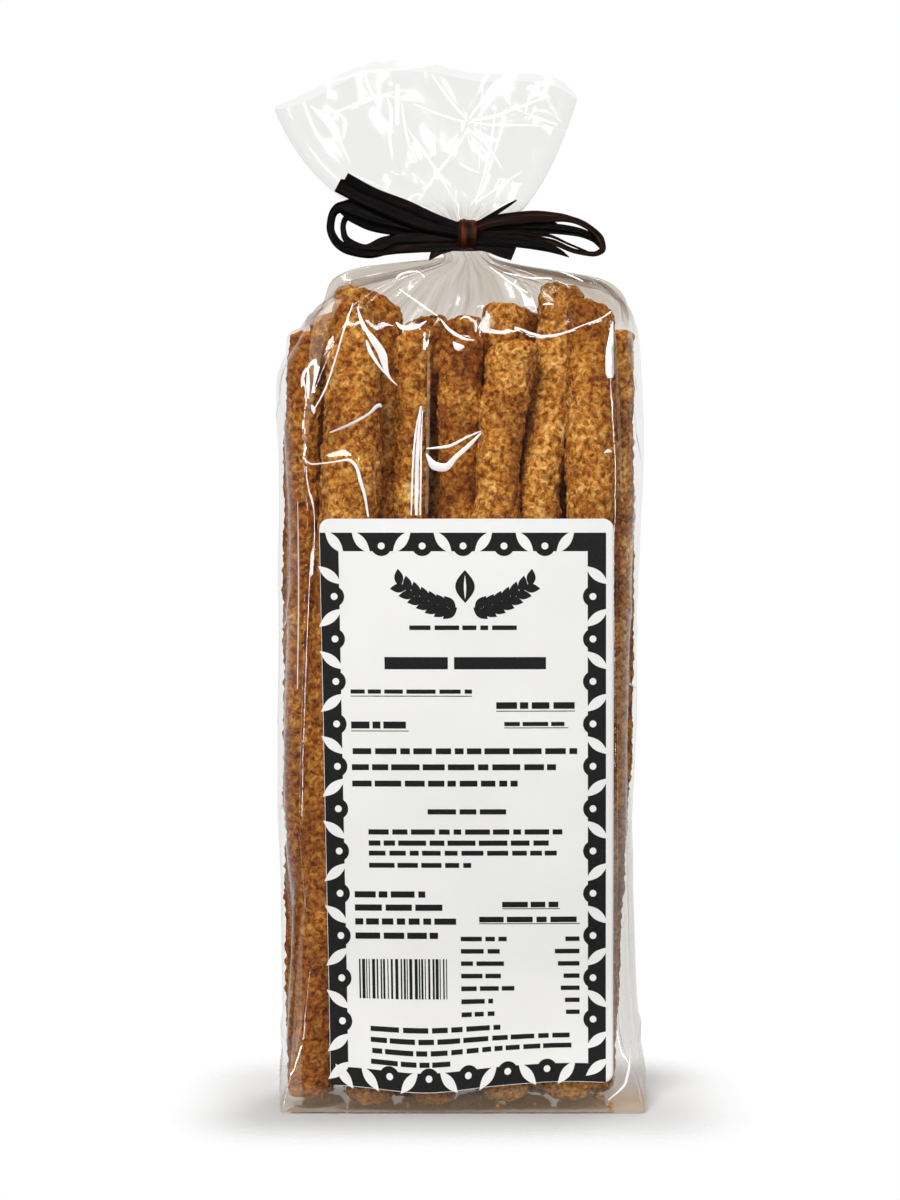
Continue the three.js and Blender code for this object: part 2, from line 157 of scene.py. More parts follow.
STICKS = {
    "front_left": ([(-44, -14.2, 2.6, 6.8), (-38, -14.4, 110, 8.2), (-31.8, -14.2, 190, 9.0),
                    (-31.2, -12.2, 221, 7.7), (-32, -9.2, 238.6, 5.0)], -0.1),
    "front_inner_left": ([(-26.8, -15.8, 1.2, 7.3), (-26, -5.4, 110, 7.1), (-24.8, 0, 190, 7.2),
                          (-24, 0.6, 236.5, 7.2)], -0.55),
    "front_middle": ([(-8.1, -16.0, 1.4, 6.6), (-4.4, -13.6, 100, 6.6), (-0.9, -10.2, 176, 6.4),
                      (-0.4, -12.4, 229.6, 6.9)], 0.1),
    "front_inner_right": ([(12.6, -15.6, 2.2, 6.9), (9.4, -16.4, 100, 6.5), (9.8, -16.4, 176, 6.5),
                           (15.0, -13.7, 222.6, 8.1)], 0.05),
    "front_right": ([(30.6, -15.6, 2.6, 7.4), (34.6, -15.2, 100, 7.6), (37.2, -14.8, 176, 7.6),
                     (37.4, -13, 212, 7.4), (37.2, -10.8, 234, 7.0)], -0.2),
    "side_left": ([(-45.6, 2, 3, 6), (-46.6, 1, 100, 6), (-46.9, -1, 190, 5.6),
                   (-45.4, -2, 226, 4.8)], 0.0),
    "middle_left": ([(-17.2, -4, 1.4, 6.4), (-13.4, -4.4, 110, 5.8), (-14.8, -8.6, 196, 5.4),
                     (-13.6, -8.8, 226, 6.4)], 0.1),
    "middle": ([(-3.5, 2.6, 1.6, 6.4), (-0.4, 2.2, 110, 6.4), (-0.6, 3, 190, 6.3),
                (0.6, 1.0, 222, 6.2)], 0.0),
    "middle_right": ([(9.6, 0.2, 2.4, 7), (12.6, 0.6, 120, 7), (12.4, 1.2, 190, 7),
                      (12.8, -0.6, 234, 7.4)], -0.15),
    "middle_high": ([(22.8, -3.4, 2.6, 6), (22.4, -9.2, 120, 6.5), (22.6, -9.8, 176, 6.2),
                     (27, -3.4, 211, 7.1), (29.8, 2.2, 239.8, 6.9)], -0.12),
    "side_right": ([(38.2, -2, 2.4, 6.5), (41.4, -2.4, 60, 6.4), (44.2, -3, 120, 6.2), (44.4, -3, 190, 6.2),
                    (44.4, -2, 226, 6.0)], 0.15),
    "back_far_left": ([(-41.4, 15.2, 2, 7.0), (-40.9, 15.4, 120, 7.1), (-39, 13.2, 232, 6.6)], 0.2),
    "back_left": ([(-26.9, 15.2, 1.6, 7.3), (-25.8, 15.8, 120, 7.4), (-25.2, 13.6, 226.5, 7.0)], -0.1),
    "back_inner_left": ([(-11.6, 16.2, 2.2, 7.1), (-11, 15.5, 120, 7.3), (-10.6, 12.8, 231, 7.0)], 0.1),
    "back_inner_right": ([(4.0, 15.6, 1.8, 7.2), (4.2, 16.2, 120, 7.4), (3.9, 14.0, 223.5, 7.2)], -0.2),
    "back_right": ([(20.0, 16.0, 2.4, 7.3), (19.4, 15.8, 120, 7.4), (18.6, 12.2, 233.4, 6.7)], 0.15),
    "back_far_right": ([(36, 15.4, 1.8, 7.5), (34.6, 15.8, 120, 7.6), (33.6, 13.8, 228, 7.1)], -0.1),
}
# How much lighter than the rest of the batch a stick is coloured, at its foot and at its top: mostly its own
# bake, but the lift on middle_high is painted light that makes up for the shade it stands in behind the front
# sticks.
BAKE_AND_PAINTED_LIGHT = {
    "front_left": (-0.2, 0.05), "front_middle": (-0.1, -0.1), "front_inner_right": (0.05, 0.05),
    "side_left": (-0.16, -0.14), "middle_high": (0.15, 0.15), "back_left": (-0.08, 0.02),
    "back_inner_right": (0.06, 0.0), "back_far_right": (-0.06, 0.03), "side_right": (-0.06, -0.02),
}
BAKE_AND_PAINTED_LIGHT_NAME = "stick_bake_and_painted_light"
STICK_AROUND = 68
STICK_ALONG = 300
# The rounded ends: their rings, how long they are as a share of the radius, and how square they are.
CAP_RINGS = 14
CAP_SHARE = 0.7
CAP_POWER = 3.0
SLANT_LENGTH = 16

# Crust relief, with its size and depth in millimetres: lumps, blisters, crumb and grit.
CRUST_RELIEF = [("CLOUDS", "SOFT_NOISE", 14.0, 1.5), ("CLOUDS", "HARD_NOISE", 4.6, 1.1),
                ("CLOUDS", "HARD_NOISE", 1.9, 0.9), ("VORONOI", "", 1.8, 0.8)]


def stick_section(stations, z):
    """A stick's middle and radius at height z. The radius is 0 past its ends."""
    x, y, radius = (through([(s[2], s[k]) for s in stations])(z) for k in (0, 1, 3))
    foot, top = stations[0], stations[-1]
    from_end = np.minimum((z - foot[2]) / (foot[3] * CAP_SHARE), (top[2] - z) / (top[3] * CAP_SHARE))
    narrow = (1 - (1 - np.clip(from_end, 0, 1)) ** CAP_POWER) ** (1 / CAP_POWER)
    return x, y, radius * narrow


# Film folds: where each starts and ends on its panel, how high it stands and how far it spreads.
# On the front and back these are x and height, and on the sides y and height.
FRONT_FOLDS = [
    # The tent that hangs from the tall stick at the left.
    (-30.6, 233, -43.4, 204, 0.83, 2), (-32.8, 232, -44.6, 206, 0.5, 1.4),
    (-30, 232, -24.4, 222, 0.8, 2.2),
    (-30.4, 234, -17.5, 224, 0.33, 1.6), (-30.4, 234, -5, 246, 0.55, 2.2),
    # The slanting streak under it and the long bent one down to the label.
    (-38.3, 196, -23.2, 204.3, 0.77, 1.6), (-45.8, 188.4, -42.5, 186.8, 0.44, 1.4),
    (-42.5, 186.8, -33.9, 188.5, 0.44, 1.4), (-33.9, 188.5, -29.4, 186.6, 0.66, 1.5),
    (-29.4, 186.6, -27.6, 181, 0.99, 1.7), (-27.6, 181, -26.6, 170, 0.88, 1.7),
    # Upright folds between the two halves.
    (-12.7, 204, -15.1, 170, 0.77, 1), (-11.9, 203, -13.2, 170, 0.61, 0.8), (-9, 226, -10.7, 170, 0.55, 1.4),
    (-7.4, 232, -9.4, 190, 0.33, 1.4),
    # Where the film sags over the middle sticks.
    (-6.1, 229, -3.3, 224.4, 0.66, 1.5), (-3.3, 224.4, 3.4, 221.9, 0.66, 1.5),
    # The long sag from the middle to the top right corner.
    (16.2, 225.8, 20, 223.5, 0.66, 1.4), (20, 223.5, 26, 223.3, 0.77, 1.4),
    (26, 223.3, 34.5, 225.4, 0.77, 1.4),
    (34.5, 225.4, 43.4, 230.8, 0.77, 1.4), (41.6, 230, 42.6, 208, 0.66, 1.8),
    (44, 226, 44.6, 180, 0.44, 1.2),
    # Beside and below the label.
    (-47.2, 178, -46.4, 120, 0.44, 1.2), (-46.8, 118, -47.4, 60, 0.44, 1.2), (-47, 52, -43, 8, 0.5, 1.4),
    (40, 3, 46, 22, 0.44, 1.5), (-20, 1, -36, 6.5, 0.33, 1.5),
]
BACK_FOLDS = [
    (30, 233, 42, 200, 1.6, 2.4), (30, 233, 14, 206, 1.5, 2.2), (-34, 230, -44, 196, 1.6, 2.2),
    (-34, 230, -20, 204, 1.5, 2.0), (-6, 229, 4, 222, 1.2, 1.6), (4, 222, 14, 224, 1.2, 1.6),
    (-46, 180, -30, 168, 1.2, 1.8), (-30, 168, -12, 172, 1.1, 1.8), (20, 150, 42, 142, 1.1, 1.8),
    (-42, 96, -24, 84, 0.9, 1.8), (8, 70, 34, 82, 0.9, 1.8), (-44, 6, -28, 22, 1.1, 1.8),
    (44, 6, 26, 20, 1.1, 1.8), (-14, 190, -16, 110, 1.2, 1.4), (24, 200, 27, 156, 1.1, 1.3),
]
SIDE_FOLDS = [
    (0, 236, 0, 120, 0.5, 1.6), (0, 120, 0.5, 24, 0.5, 1.6), (0.5, 24, -23, 1, 0.9, 1.6),
    (0.5, 24, 23, 1, 0.9, 1.6), (-14, 214, -2, 200, 0.6, 1.6), (12, 206, 3, 186, 0.6, 1.6),
    (-16, 150, -4, 138, 0.5, 1.6), (15, 96, 4, 84, 0.5, 1.6),
]
# Flat-sided peaks: the top, its height, and the points round it where it ends.
FRONT_PEAKS = [
    ((-30.6, 233.5), 1.5, [(-43.5, 205), (-31, 200), (-18.6, 208.8), (-14, 222), (-18, 238), (-34, 243),
                           (-45, 226)]),
    ((-6.4, 231), 1.6, [(-12, 214), (-3, 216), (4, 222), (2, 238), (-12, 242)]),
    ((43, 231), 1.6, [(42, 206), (31, 217), (27, 236), (38, 243)]),
]
FRILL_FRONT_PEAKS = [
    ((2.6, 285.5), 1.6, [(-9.3, 301), (4, 301.5), (12, 297.5), (18, 289.5), (31, 290), (30, 281), (14, 277),
                         (6, 266), (-8, 272), (-9, 287)]),
    ((22, 292), 1.8, [(18, 289.5), (18.5, 295.5), (29.3, 296), (25.8, 290), (30.7, 284.5)]),
    ((-34.5, 282), 1.2, [(-44.4, 290.9), (-36.5, 288.8), (-33, 286.2), (-31.9, 273.5), (-36, 276.1),
                         (-40, 283.3)]),
]
# Dents: middle, half width, half height and depth.
FRONT_DENTS = [
    (-3, 197.5, 8.5, 6.5, 1.2), (-2, 230.5, 7, 6, 1.6), (24, 232, 15, 8, 2.6), (-36, 193.5, 7, 5, 1.4),
    (39, 186, 4, 4.5, 1.0), (14, 206, 6, 10, 1.0),
]
BACK_DENTS = [(4, 208, 10, 8, 2.2), (-30, 190, 9, 7, 1.8), (32, 130, 8, 12, 1.6), (-14, 60, 9, 10, 1.6)]
FRILL_FRONT_FOLDS = [
    # The crinkled star and its rays.
    (1.4, 285, 10, 298, 0.84, 1.6), (1.4, 285, -9.5, 302, 0.9, 1.8), (1.4, 285, 31, 285, 0.84, 1.6),
    (1.4, 285, 18, 290, 0.6, 1.6), (1.4, 285, -12, 263, 1.08, 2.2), (1.4, 285, 12, 272, 0.78, 1.8),
    (1.4, 285, -14, 292, 0.54, 1.8),
    # Long facets of the left lobe, and the fold that follows its rim.
    (-2, 262, -44, 287, 1.2, 3.4), (-12, 266, -33, 293, 1.2, 3.4), (-20, 266, -20, 296, 0.96, 2.4),
    (-46, 294, -30, 299, 0.72, 1.8), (-30, 299, -6, 302.4, 0.72, 1.8), (-50, 286, -36, 271, 0.72, 1.8),
    (-17, 292, -14.5, 276, 0.66, 1.3),
    # The right lobe.
    (20, 294, 30, 296, 0.72, 1.6), (20, 294, 24, 284, 0.72, 1.6), (24, 284, 32, 290, 0.72, 1.6),
    (8, 266, 27, 278, 0.84, 2), (4, 262, 20, 270, 0.66, 1.6),
]
FRILL_BACK_FOLDS = [
    (0, 262, -38, 284, 1.12, 2.8), (-8, 264, -24, 298, 1.12, 2.6), (4, 262, 6, 298, 1.05, 2.2),
    (6, 262, 22, 292, 1.05, 2.4), (-40, 290, -18, 298, 0.84, 2), (10, 292, 28, 286, 0.84, 1.8),
]
FOLD_ROUND = 0.45

# How the film dips between the sticks, as x at the foot and x at the shoulders.
FRONT_CONTACTS = [(-44, -33), (-27, -24), (-10, -0.8), (11, 12), (26, 26), (37, 38.5)]
BACK_CONTACTS = [(-41.5, -39), (-26.5, -25.6), (-11, -9), (4.5, 6.4), (20.5, 21), (38, 38.5)]
SIDE_CONTACTS = [(-15, -14), (1, -1), (16, 15)]
CONTACT_HALF = 8.0
CONTACT_TOP_Z = 236.0


def dip(across, z, contacts):
    """0 on a stick to 1 between two."""
    up = z / CONTACT_TOP_Z
    nearest = np.min([np.abs(across - mix(low, high, up)) for low, high in contacts], axis=0)
    return np.minimum(nearest / CONTACT_HALF, 1) ** 2


def fold_push(u, v, folds):
    """How far sharp folds lift the film at (u, v) of a panel."""
    push = np.zeros_like(u)
    for u0, v0, u1, v1, height, spread in folds:
        du, dv = u1 - u0, v1 - v0
        along = np.clip(((u - u0) * du + (v - v0) * dv) / (du * du + dv * dv), 0, 1)
        away = np.hypot(u - u0 - along * du, v - v0 - along * dv)
        push = np.maximum(push, height * np.exp((FOLD_ROUND - np.hypot(away, FOLD_ROUND)) / spread))
    return push


def dent_depth(u, v, dents):
    depth = np.zeros_like(u)
    for u0, v0, wide, tall, deep in dents:
        depth += deep * np.exp(-((u - u0) / wide) ** 2 - ((v - v0) / tall) ** 2)
    return depth


def peak_lift(u, v, peaks):
    lift = np.zeros_like(u)
    for (u0, v0), height, ring in peaks:
        for (u1, v1), (u2, v2) in zip(ring, ring[1:] + ring[:1]):
            area = (u1 - u0) * (v2 - v0) - (u2 - u0) * (v1 - v0)
            first = ((u - u0) * (v2 - v0) - (u2 - u0) * (v - v0)) / area
            second = ((u1 - u0) * (v - v0) - (u - u0) * (v1 - v0)) / area
            inside = (first >= 0) & (second >= 0) & (first + second < 1)
            lift += np.where(inside, height * (1 - first - second), 0)
    return lift


def crumple(u, v, rng, spacing, height):
    """Flat facets that meet in sharp ridges and valleys: the difference of two cell patterns."""
    low_u, low_v, high_u, high_v = u.min(), v.min(), u.max(), v.max()
    count = int((high_u - low_u + 2 * spacing) * (high_v - low_v + 2 * spacing) / spacing ** 2) + 1
    squares = []
    for _ in range(2):
        seeds = rng.uniform((low_u - spacing, low_v - spacing), (high_u + spacing, high_v + spacing),
                            (count, 2))
        nearest = np.full(u.shape, np.inf)
        for su, sv in seeds:
            nearest = np.minimum(nearest, (u - su) ** 2 + (v - sv) ** 2)
        squares.append(nearest)
    return height * (squares[0] - squares[1]) / spacing ** 2


# Film: the turn round the bag and the frill.

FACES = [
    # Steps on the face, its middle angle, the angle it covers, the way along it and the way out.
    (112, -90, 108, (1, 0), (0, -1)),
    (36, 0, 44, (0, 1), (1, 0)),
    (112, 90, 108, (-1, 0), (0, 1)),
    (36, 180, 44, (0, -1), (-1, 0)),
]
CORNER_STEPS = 6
CORNER_ANGLE = (360 - 2 * 108 - 2 * 44) / 4


def film_turn():
    """The steps of one turn: share of the face, way along, way out, corner way and angle at the neck."""
    rows = []
    for steps, middle, spread, along, out in FACES:
        for i in range(steps):
            rows.append((i / steps, *along, *out, *out, middle + spread * (i / steps - 0.5)))
        for i in range(CORNER_STEPS):
            bend = i / CORNER_STEPS * math.pi / 2
            way = [along[k] * math.sin(bend) + out[k] * math.cos(bend) for k in range(2)]
            rows.append((1.0, *along, *out, *way, middle + spread / 2 + CORNER_ANGLE * i / CORNER_STEPS))
    rows.append(rows[0])
    turn = np.array(rows).T
    return {"share": turn[0], "along": turn[1:3], "out": turn[3:5], "way": turn[5:7],
            "angle": np.radians(turn[7])}


def turn_points(turn, a, b, r):
    """Points of a rounded rectangle with half sizes a and b and corner radius r."""
    long_face = turn["along"][0] != 0
    run = np.where(long_face, a - r, b - r)
    reach = np.where(long_face, b - r, a - r)
    at = run * (2 * turn["share"] - 1)
    return [turn["along"][k] * at + turn["out"][k] * reach + r * turn["way"][k] for k in range(2)]


def gathered(px, py, turn, share):
    return (mix(px, NECK_RADIUS * np.cos(turn["angle"]), share),
            mix(py, NECK_RADIUS * np.sin(turn["angle"]), share))


# Pleats below the tie: how many, how far each drifts, its width in degrees, its height, and where it ends.
PLEATS = 60
PLEAT_DRIFT = 0.22
PLEAT_DRIFT_LENGTH = 20
PLEAT_WIDTH = (1.6, 4.5)
PLEAT_HEIGHT = (0.7, 2.0)
PLEAT_END_Z = (219, 238)
PLEAT_FADE = 9
PLEAT_CALM_Z = 241
CORNER_PINCH = 0.4
# How far the film keeps off the sticks before and after its folds are laid on it.
DRAPE_GAP = 0.75
LEAST_GAP = 0.45


def ridge_at(turn, middle, wide, rounding):
    """A sharp ridge along one angle of the turn, near 1 on its line."""
    off = np.abs((turn["angle"] - middle + math.pi) % (2 * math.pi) - math.pi)
    return np.exp(-np.hypot(off, rounding) / wide)


def neck_pleats(turn, z, rng):
    """Sharp pleats that run out from the tie, each for a length of its own."""
    push = np.zeros(np.broadcast(turn["angle"], z).shape)
    for _ in range(PLEATS):
        angle = rng.uniform(-math.pi, math.pi)
        drift = rng.uniform(-PLEAT_DRIFT, PLEAT_DRIFT)
        wide = math.radians(rng.uniform(*PLEAT_WIDTH))
        height = rng.uniform(*PLEAT_HEIGHT) * rng.choice([-1, 1])
        end = rng.uniform(*PLEAT_END_Z)
        middle = angle + drift * (NECK_BOTTOM_Z - z) / PLEAT_DRIFT_LENGTH
        push = push + height * ridge_at(turn, middle, wide, 0.01) * smooth(z, end, end + PLEAT_FADE)
    return push * (1 - 0.8 * smooth(z, PLEAT_CALM_Z, NECK_BOTTOM_Z))


def outward(points):
    """Unit normals of a sheet of points whose rows run round the bag."""
    around = np.gradient(points, axis=1)
    around[:, 0] = around[:, -1] = points[:, 1] - points[:, -2]
    normal = np.cross(around, np.gradient(points, axis=0))
    return normal / np.maximum(np.linalg.norm(normal, axis=-1, keepdims=True), 1e-9)


def draped(points, gap):
    """Film points moved out, level, to where each stick's crust ends."""
    z = points[..., 2]
    for stations, _ in STICKS.values():
        x, y, radius = stick_section(stations, z)
        away = np.stack([points[..., 0] - x, points[..., 1] - y], axis=-1)
        distance = np.maximum(np.linalg.norm(away, axis=-1), 0.01)
        short = np.where(radius > 0, np.maximum(radius + gap - distance, 0), 0)
        points[..., :2] += away * (short / distance)[..., None]
    return points


# How deep the film dips between sticks, and where up the bag it starts to.
FRONT_DIP = 1.0
BACK_DIP = 1.3
SIDE_DIP = 1.1
DIP_START_Z = (4, 20)
# Flat facets: how far apart they are and how high.
FRONT_FACETS = (20, 0.35)
BACK_FACETS = (18, 1.0)
SIDE_FACETS = (18, 0.3)
GATHER_FACETS = (6, 0.8)
FRILL_FRONT_FACETS = (22, 1.7)
FRILL_BACK_FACETS = (20, 1.7)
# Where the film is free of the label, and where its folds and facets set in and end.
CLEAR_OF_TOP = (LABEL_TOP_Z + 1, LABEL_TOP_Z + 12)
CLEAR_OF_SIDE = (LABEL_WIDTH / 2 + 0.5, LABEL_WIDTH / 2 + 3)
CLEAR_OF_FOOT = (LABEL_BOTTOM_Z - 2, LABEL_BOTTOM_Z)
ROUNDER_CORNER_Z = (232, 244)
GATHER_START_Z = 240
FOLD_START_Z = (0, 6)
FOLD_END_Z = (238, 246)
PINCH_START_Z = (2, 14)
WRINKLE_START_Z = (224, 232)
WRINKLE_END_Z = (240, 248)
# The flat base: its first two rows up the side and how they draw in, then the rings that close it.
FOOT_ROWS = [0.0, 0.35]
FOOT_INSET = [0.985, 0.995]
BASE_MIDDLE = [0.2, 0.0]
BASE_RINGS = (0.0, 0.35, 0.7, 0.94)
BASE_LIFT = 0.35
# How far past the plane of the label the film may stand where it is free of it, and from how much to how
# much of its way out it counts as the front.
FREE_DEPTH = 6
FRONT_SHARE = (0.8, 0.98)


def film_body(steps):
    """The film from the middle of the base up to the tie, as rows of points."""
    rows = np.concatenate([FOOT_ROWS, np.linspace(1.0, NECK_MIDDLE_Z + 1.0, steps)])
    points = film_walls(rows)
    middle = np.array(BASE_MIDDLE)
    for row, inset in enumerate(FOOT_INSET):
        points[row, :, :2] = middle + (points[row, :, :2] - middle) * inset
    edge, height = points[0, :, :2], points[0, :, 2:]
    base = [np.concatenate([middle + (edge - middle) * share, height + BASE_LIFT], axis=1)
            for share in BASE_RINGS]
    return np.concatenate([np.array(base), points])


def film_walls(rows):
    """The four faces and corners of the body, at the heights in rows."""
    turn = film_turn()
    z = rows[:, None]
    ends = panel_ends(z)
    a = (ends[1] - ends[0]) / 2
    b = half_depth(z)
    px, py = turn_points(turn, a, b, corner_radius(z) * mix(0.6, 1, smooth(z, *ROUNDER_CORNER_Z)))
    px, py = gathered(px, py, turn, smooth(z, GATHER_START_Z, NECK_BOTTOM_Z))
    x = (ends[0] + ends[1]) / 2 + px
    way = turn["way"]
    front, back, side = np.maximum(-way[1], 0), np.maximum(way[1], 0), np.abs(way[0])

    crown = front_crown(z) * crowned(x, ends)
    out = front * crown + back * BACK_CROWN_SHARE * crown
    relief = (1 - smooth(z, SHOULDER_Z, CONTACT_TOP_Z)) * smooth(z, *DIP_START_Z)
    off_label = np.maximum(smooth(z, *CLEAR_OF_TOP), smooth(np.abs(x - LABEL_X), *CLEAR_OF_SIDE))
    out = out - front * FRONT_DIP * dip(x, z, FRONT_CONTACTS) * relief * off_label
    out = out - back * BACK_DIP * dip(x, z, BACK_CONTACTS) * relief
    out = out - side * SIDE_DIP * dip(py, z, SIDE_CONTACTS) * relief
    bulge = way[0] * np.where(way[0] < 0, left_bulge(z), right_bulge(z))
    bulge = bulge * (1 - np.minimum(np.abs(py) / b, 1) ** BULGE_POWER)
    points = draped(np.stack([x + way[0] * out + bulge, py + way[1] * out, z + 0 * x], axis=-1), DRAPE_GAP)

    rng = np.random.default_rng(11)
    flat = z + 0 * x
    off = np.maximum(off_label, 1 - smooth(z, *CLEAR_OF_FOOT))
    front_push = fold_push(x, flat, FRONT_FOLDS) - dent_depth(x, flat, FRONT_DENTS)
    front_push = front_push + peak_lift(x, flat, FRONT_PEAKS) + crumple(x, flat, rng, *FRONT_FACETS)
    back_push = fold_push(x, flat, BACK_FOLDS) - dent_depth(x, flat, BACK_DENTS)
    back_push = back_push + crumple(x, flat, rng, *BACK_FACETS)
    side_push = fold_push(py, flat, SIDE_FOLDS) + crumple(py, flat, rng, *SIDE_FACETS)
    push = (front * off * front_push + back * back_push + side * side_push) * smooth(z, *FOLD_START_Z)
    pinch = CORNER_PINCH * (4 * (way[0] * way[1]) ** 2)
    push = (push + pinch * smooth(z, *PINCH_START_Z)) * (1 - smooth(z, *FOLD_END_Z))
    push = push + neck_pleats(turn, z, rng)
    wrinkle = crumple(np.degrees(turn["angle"]) * 0.5 + 0 * z, flat * 0.7, rng, *GATHER_FACETS)
    push = push + wrinkle * smooth(z, *WRINKLE_START_Z) * (1 - smooth(z, *WRINKLE_END_Z))
    points = draped(points + outward(points) * push[..., None], LEAST_GAP)
    # The label holds the film flat behind it.
    flattest = front_plain(points[..., 0], z) - FREE_DEPTH * off
    flattest = flattest - FREE_DEPTH * (1 - smooth(-way[1], *FRONT_SHARE))
    points[..., 1] = np.maximum(points[..., 1], flattest)
    return points


# The frill: how far it is open halfway up on the left and the right, as shares of the rim, half its depth
# at the rim, and its waves as height, number across, drift up the frill and start.
LEFT_FLARE = 0.78
RIGHT_FLARE = 0.7
RIM_HALF_DEPTH = 9.0
FRILL_WAIST = 0.3
FRILL_ROUNDNESS = 0.98
FRILL_GATHER = (0, 0.35)
FRILL_BEND = 0.32
FRILL_SINK = 4.4
FRILL_WAVES = [(3.2, 1.7, 0.25, 0.6), (1.5, 3.3, -0.3, 2.0)]
# Where its folds fade out, as shares of its height and its width from each end.
FRILL_FOLD_START = (0.05, 0.3)
LEFT_FADE = (0, 0.16)
RIGHT_FADE = (1, 0.92)
# Its pleats above the tie: how many, their width in degrees, their height and where they end.
FRILL_PLEATS = 16
FRILL_PLEAT_WIDTH = (2.5, 6)
FRILL_PLEAT_HEIGHT = (0.5, 1.3)
FRILL_PLEAT_END = (0.25, 0.7)


def film_frill(steps):
    """The frill from the tie to its open mouth, as rows of points."""
    turn = film_turn()
    t = np.linspace(0, 1, steps)[:, None]

    def spread(rim, neck, early):
        return mix(mix(neck, early * rim, t), mix(early * rim, rim, t), t)

    left = spread(RIM_LEFT, NECK_X - NECK_RADIUS, LEFT_FLARE)
    right = spread(RIM_RIGHT, NECK_X + NECK_RADIUS, RIGHT_FLARE)
    a = (right - left) / 2
    b = mix(NECK_RADIUS, RIM_HALF_DEPTH, t) * (1 - FRILL_WAIST * np.sin(math.pi * np.minimum(2 * t, 1)))
    px, py = turn_points(turn, a, b, b * FRILL_ROUNDNESS)
    px, py = gathered(px, py, turn, 1 - smooth(t, *FRILL_GATHER))
    across = np.clip((px + a) / (2 * a), 0, 1)
    bend = 0.5 - FRILL_BEND * np.abs(2 * across - 1)
    rise = 2 * bend * t * (1 - t) + t * t
    z = mix(NECK_TOP_Z - FRILL_SINK, rim_height(across), rise)
    x = (left + right) / 2 + px
    wave = sum(height * np.sin(2 * math.pi * (count * across + drift * t) + start)
               for height, count, drift, start in FRILL_WAVES)
    points = np.stack([x, py + wave * smooth(t, 0.1, 1), z], axis=-1)

    way = turn["way"]
    front, back = np.maximum(-way[1], 0), np.maximum(way[1], 0)
    rng = np.random.default_rng(23)
    out = front * (fold_push(x, z, FRILL_FRONT_FOLDS) + peak_lift(x, z, FRILL_FRONT_PEAKS))
    out = out + front * crumple(x, z * 0.7, rng, *FRILL_FRONT_FACETS)
    out = out + back * (fold_push(x, z, FRILL_BACK_FOLDS) + crumple(x, z * 0.7, rng, *FRILL_BACK_FACETS))
    out = out * smooth(t, *FRILL_FOLD_START) * smooth(across, *LEFT_FADE) * smooth(across, *RIGHT_FADE)
    for _ in range(FRILL_PLEATS):
        angle = rng.uniform(-math.pi, math.pi)
        wide = math.radians(rng.uniform(*FRILL_PLEAT_WIDTH))
        height = rng.uniform(*FRILL_PLEAT_HEIGHT) * rng.choice([-1, 1])
        end = rng.uniform(*FRILL_PLEAT_END)
        ridge = height * ridge_at(turn, angle, wide, 0.012)
        out = out + ridge * (1 - smooth(t, end * 0.3, end)) * smooth(t, 0, 0.1)
    return points + outward(points) * out[..., None]
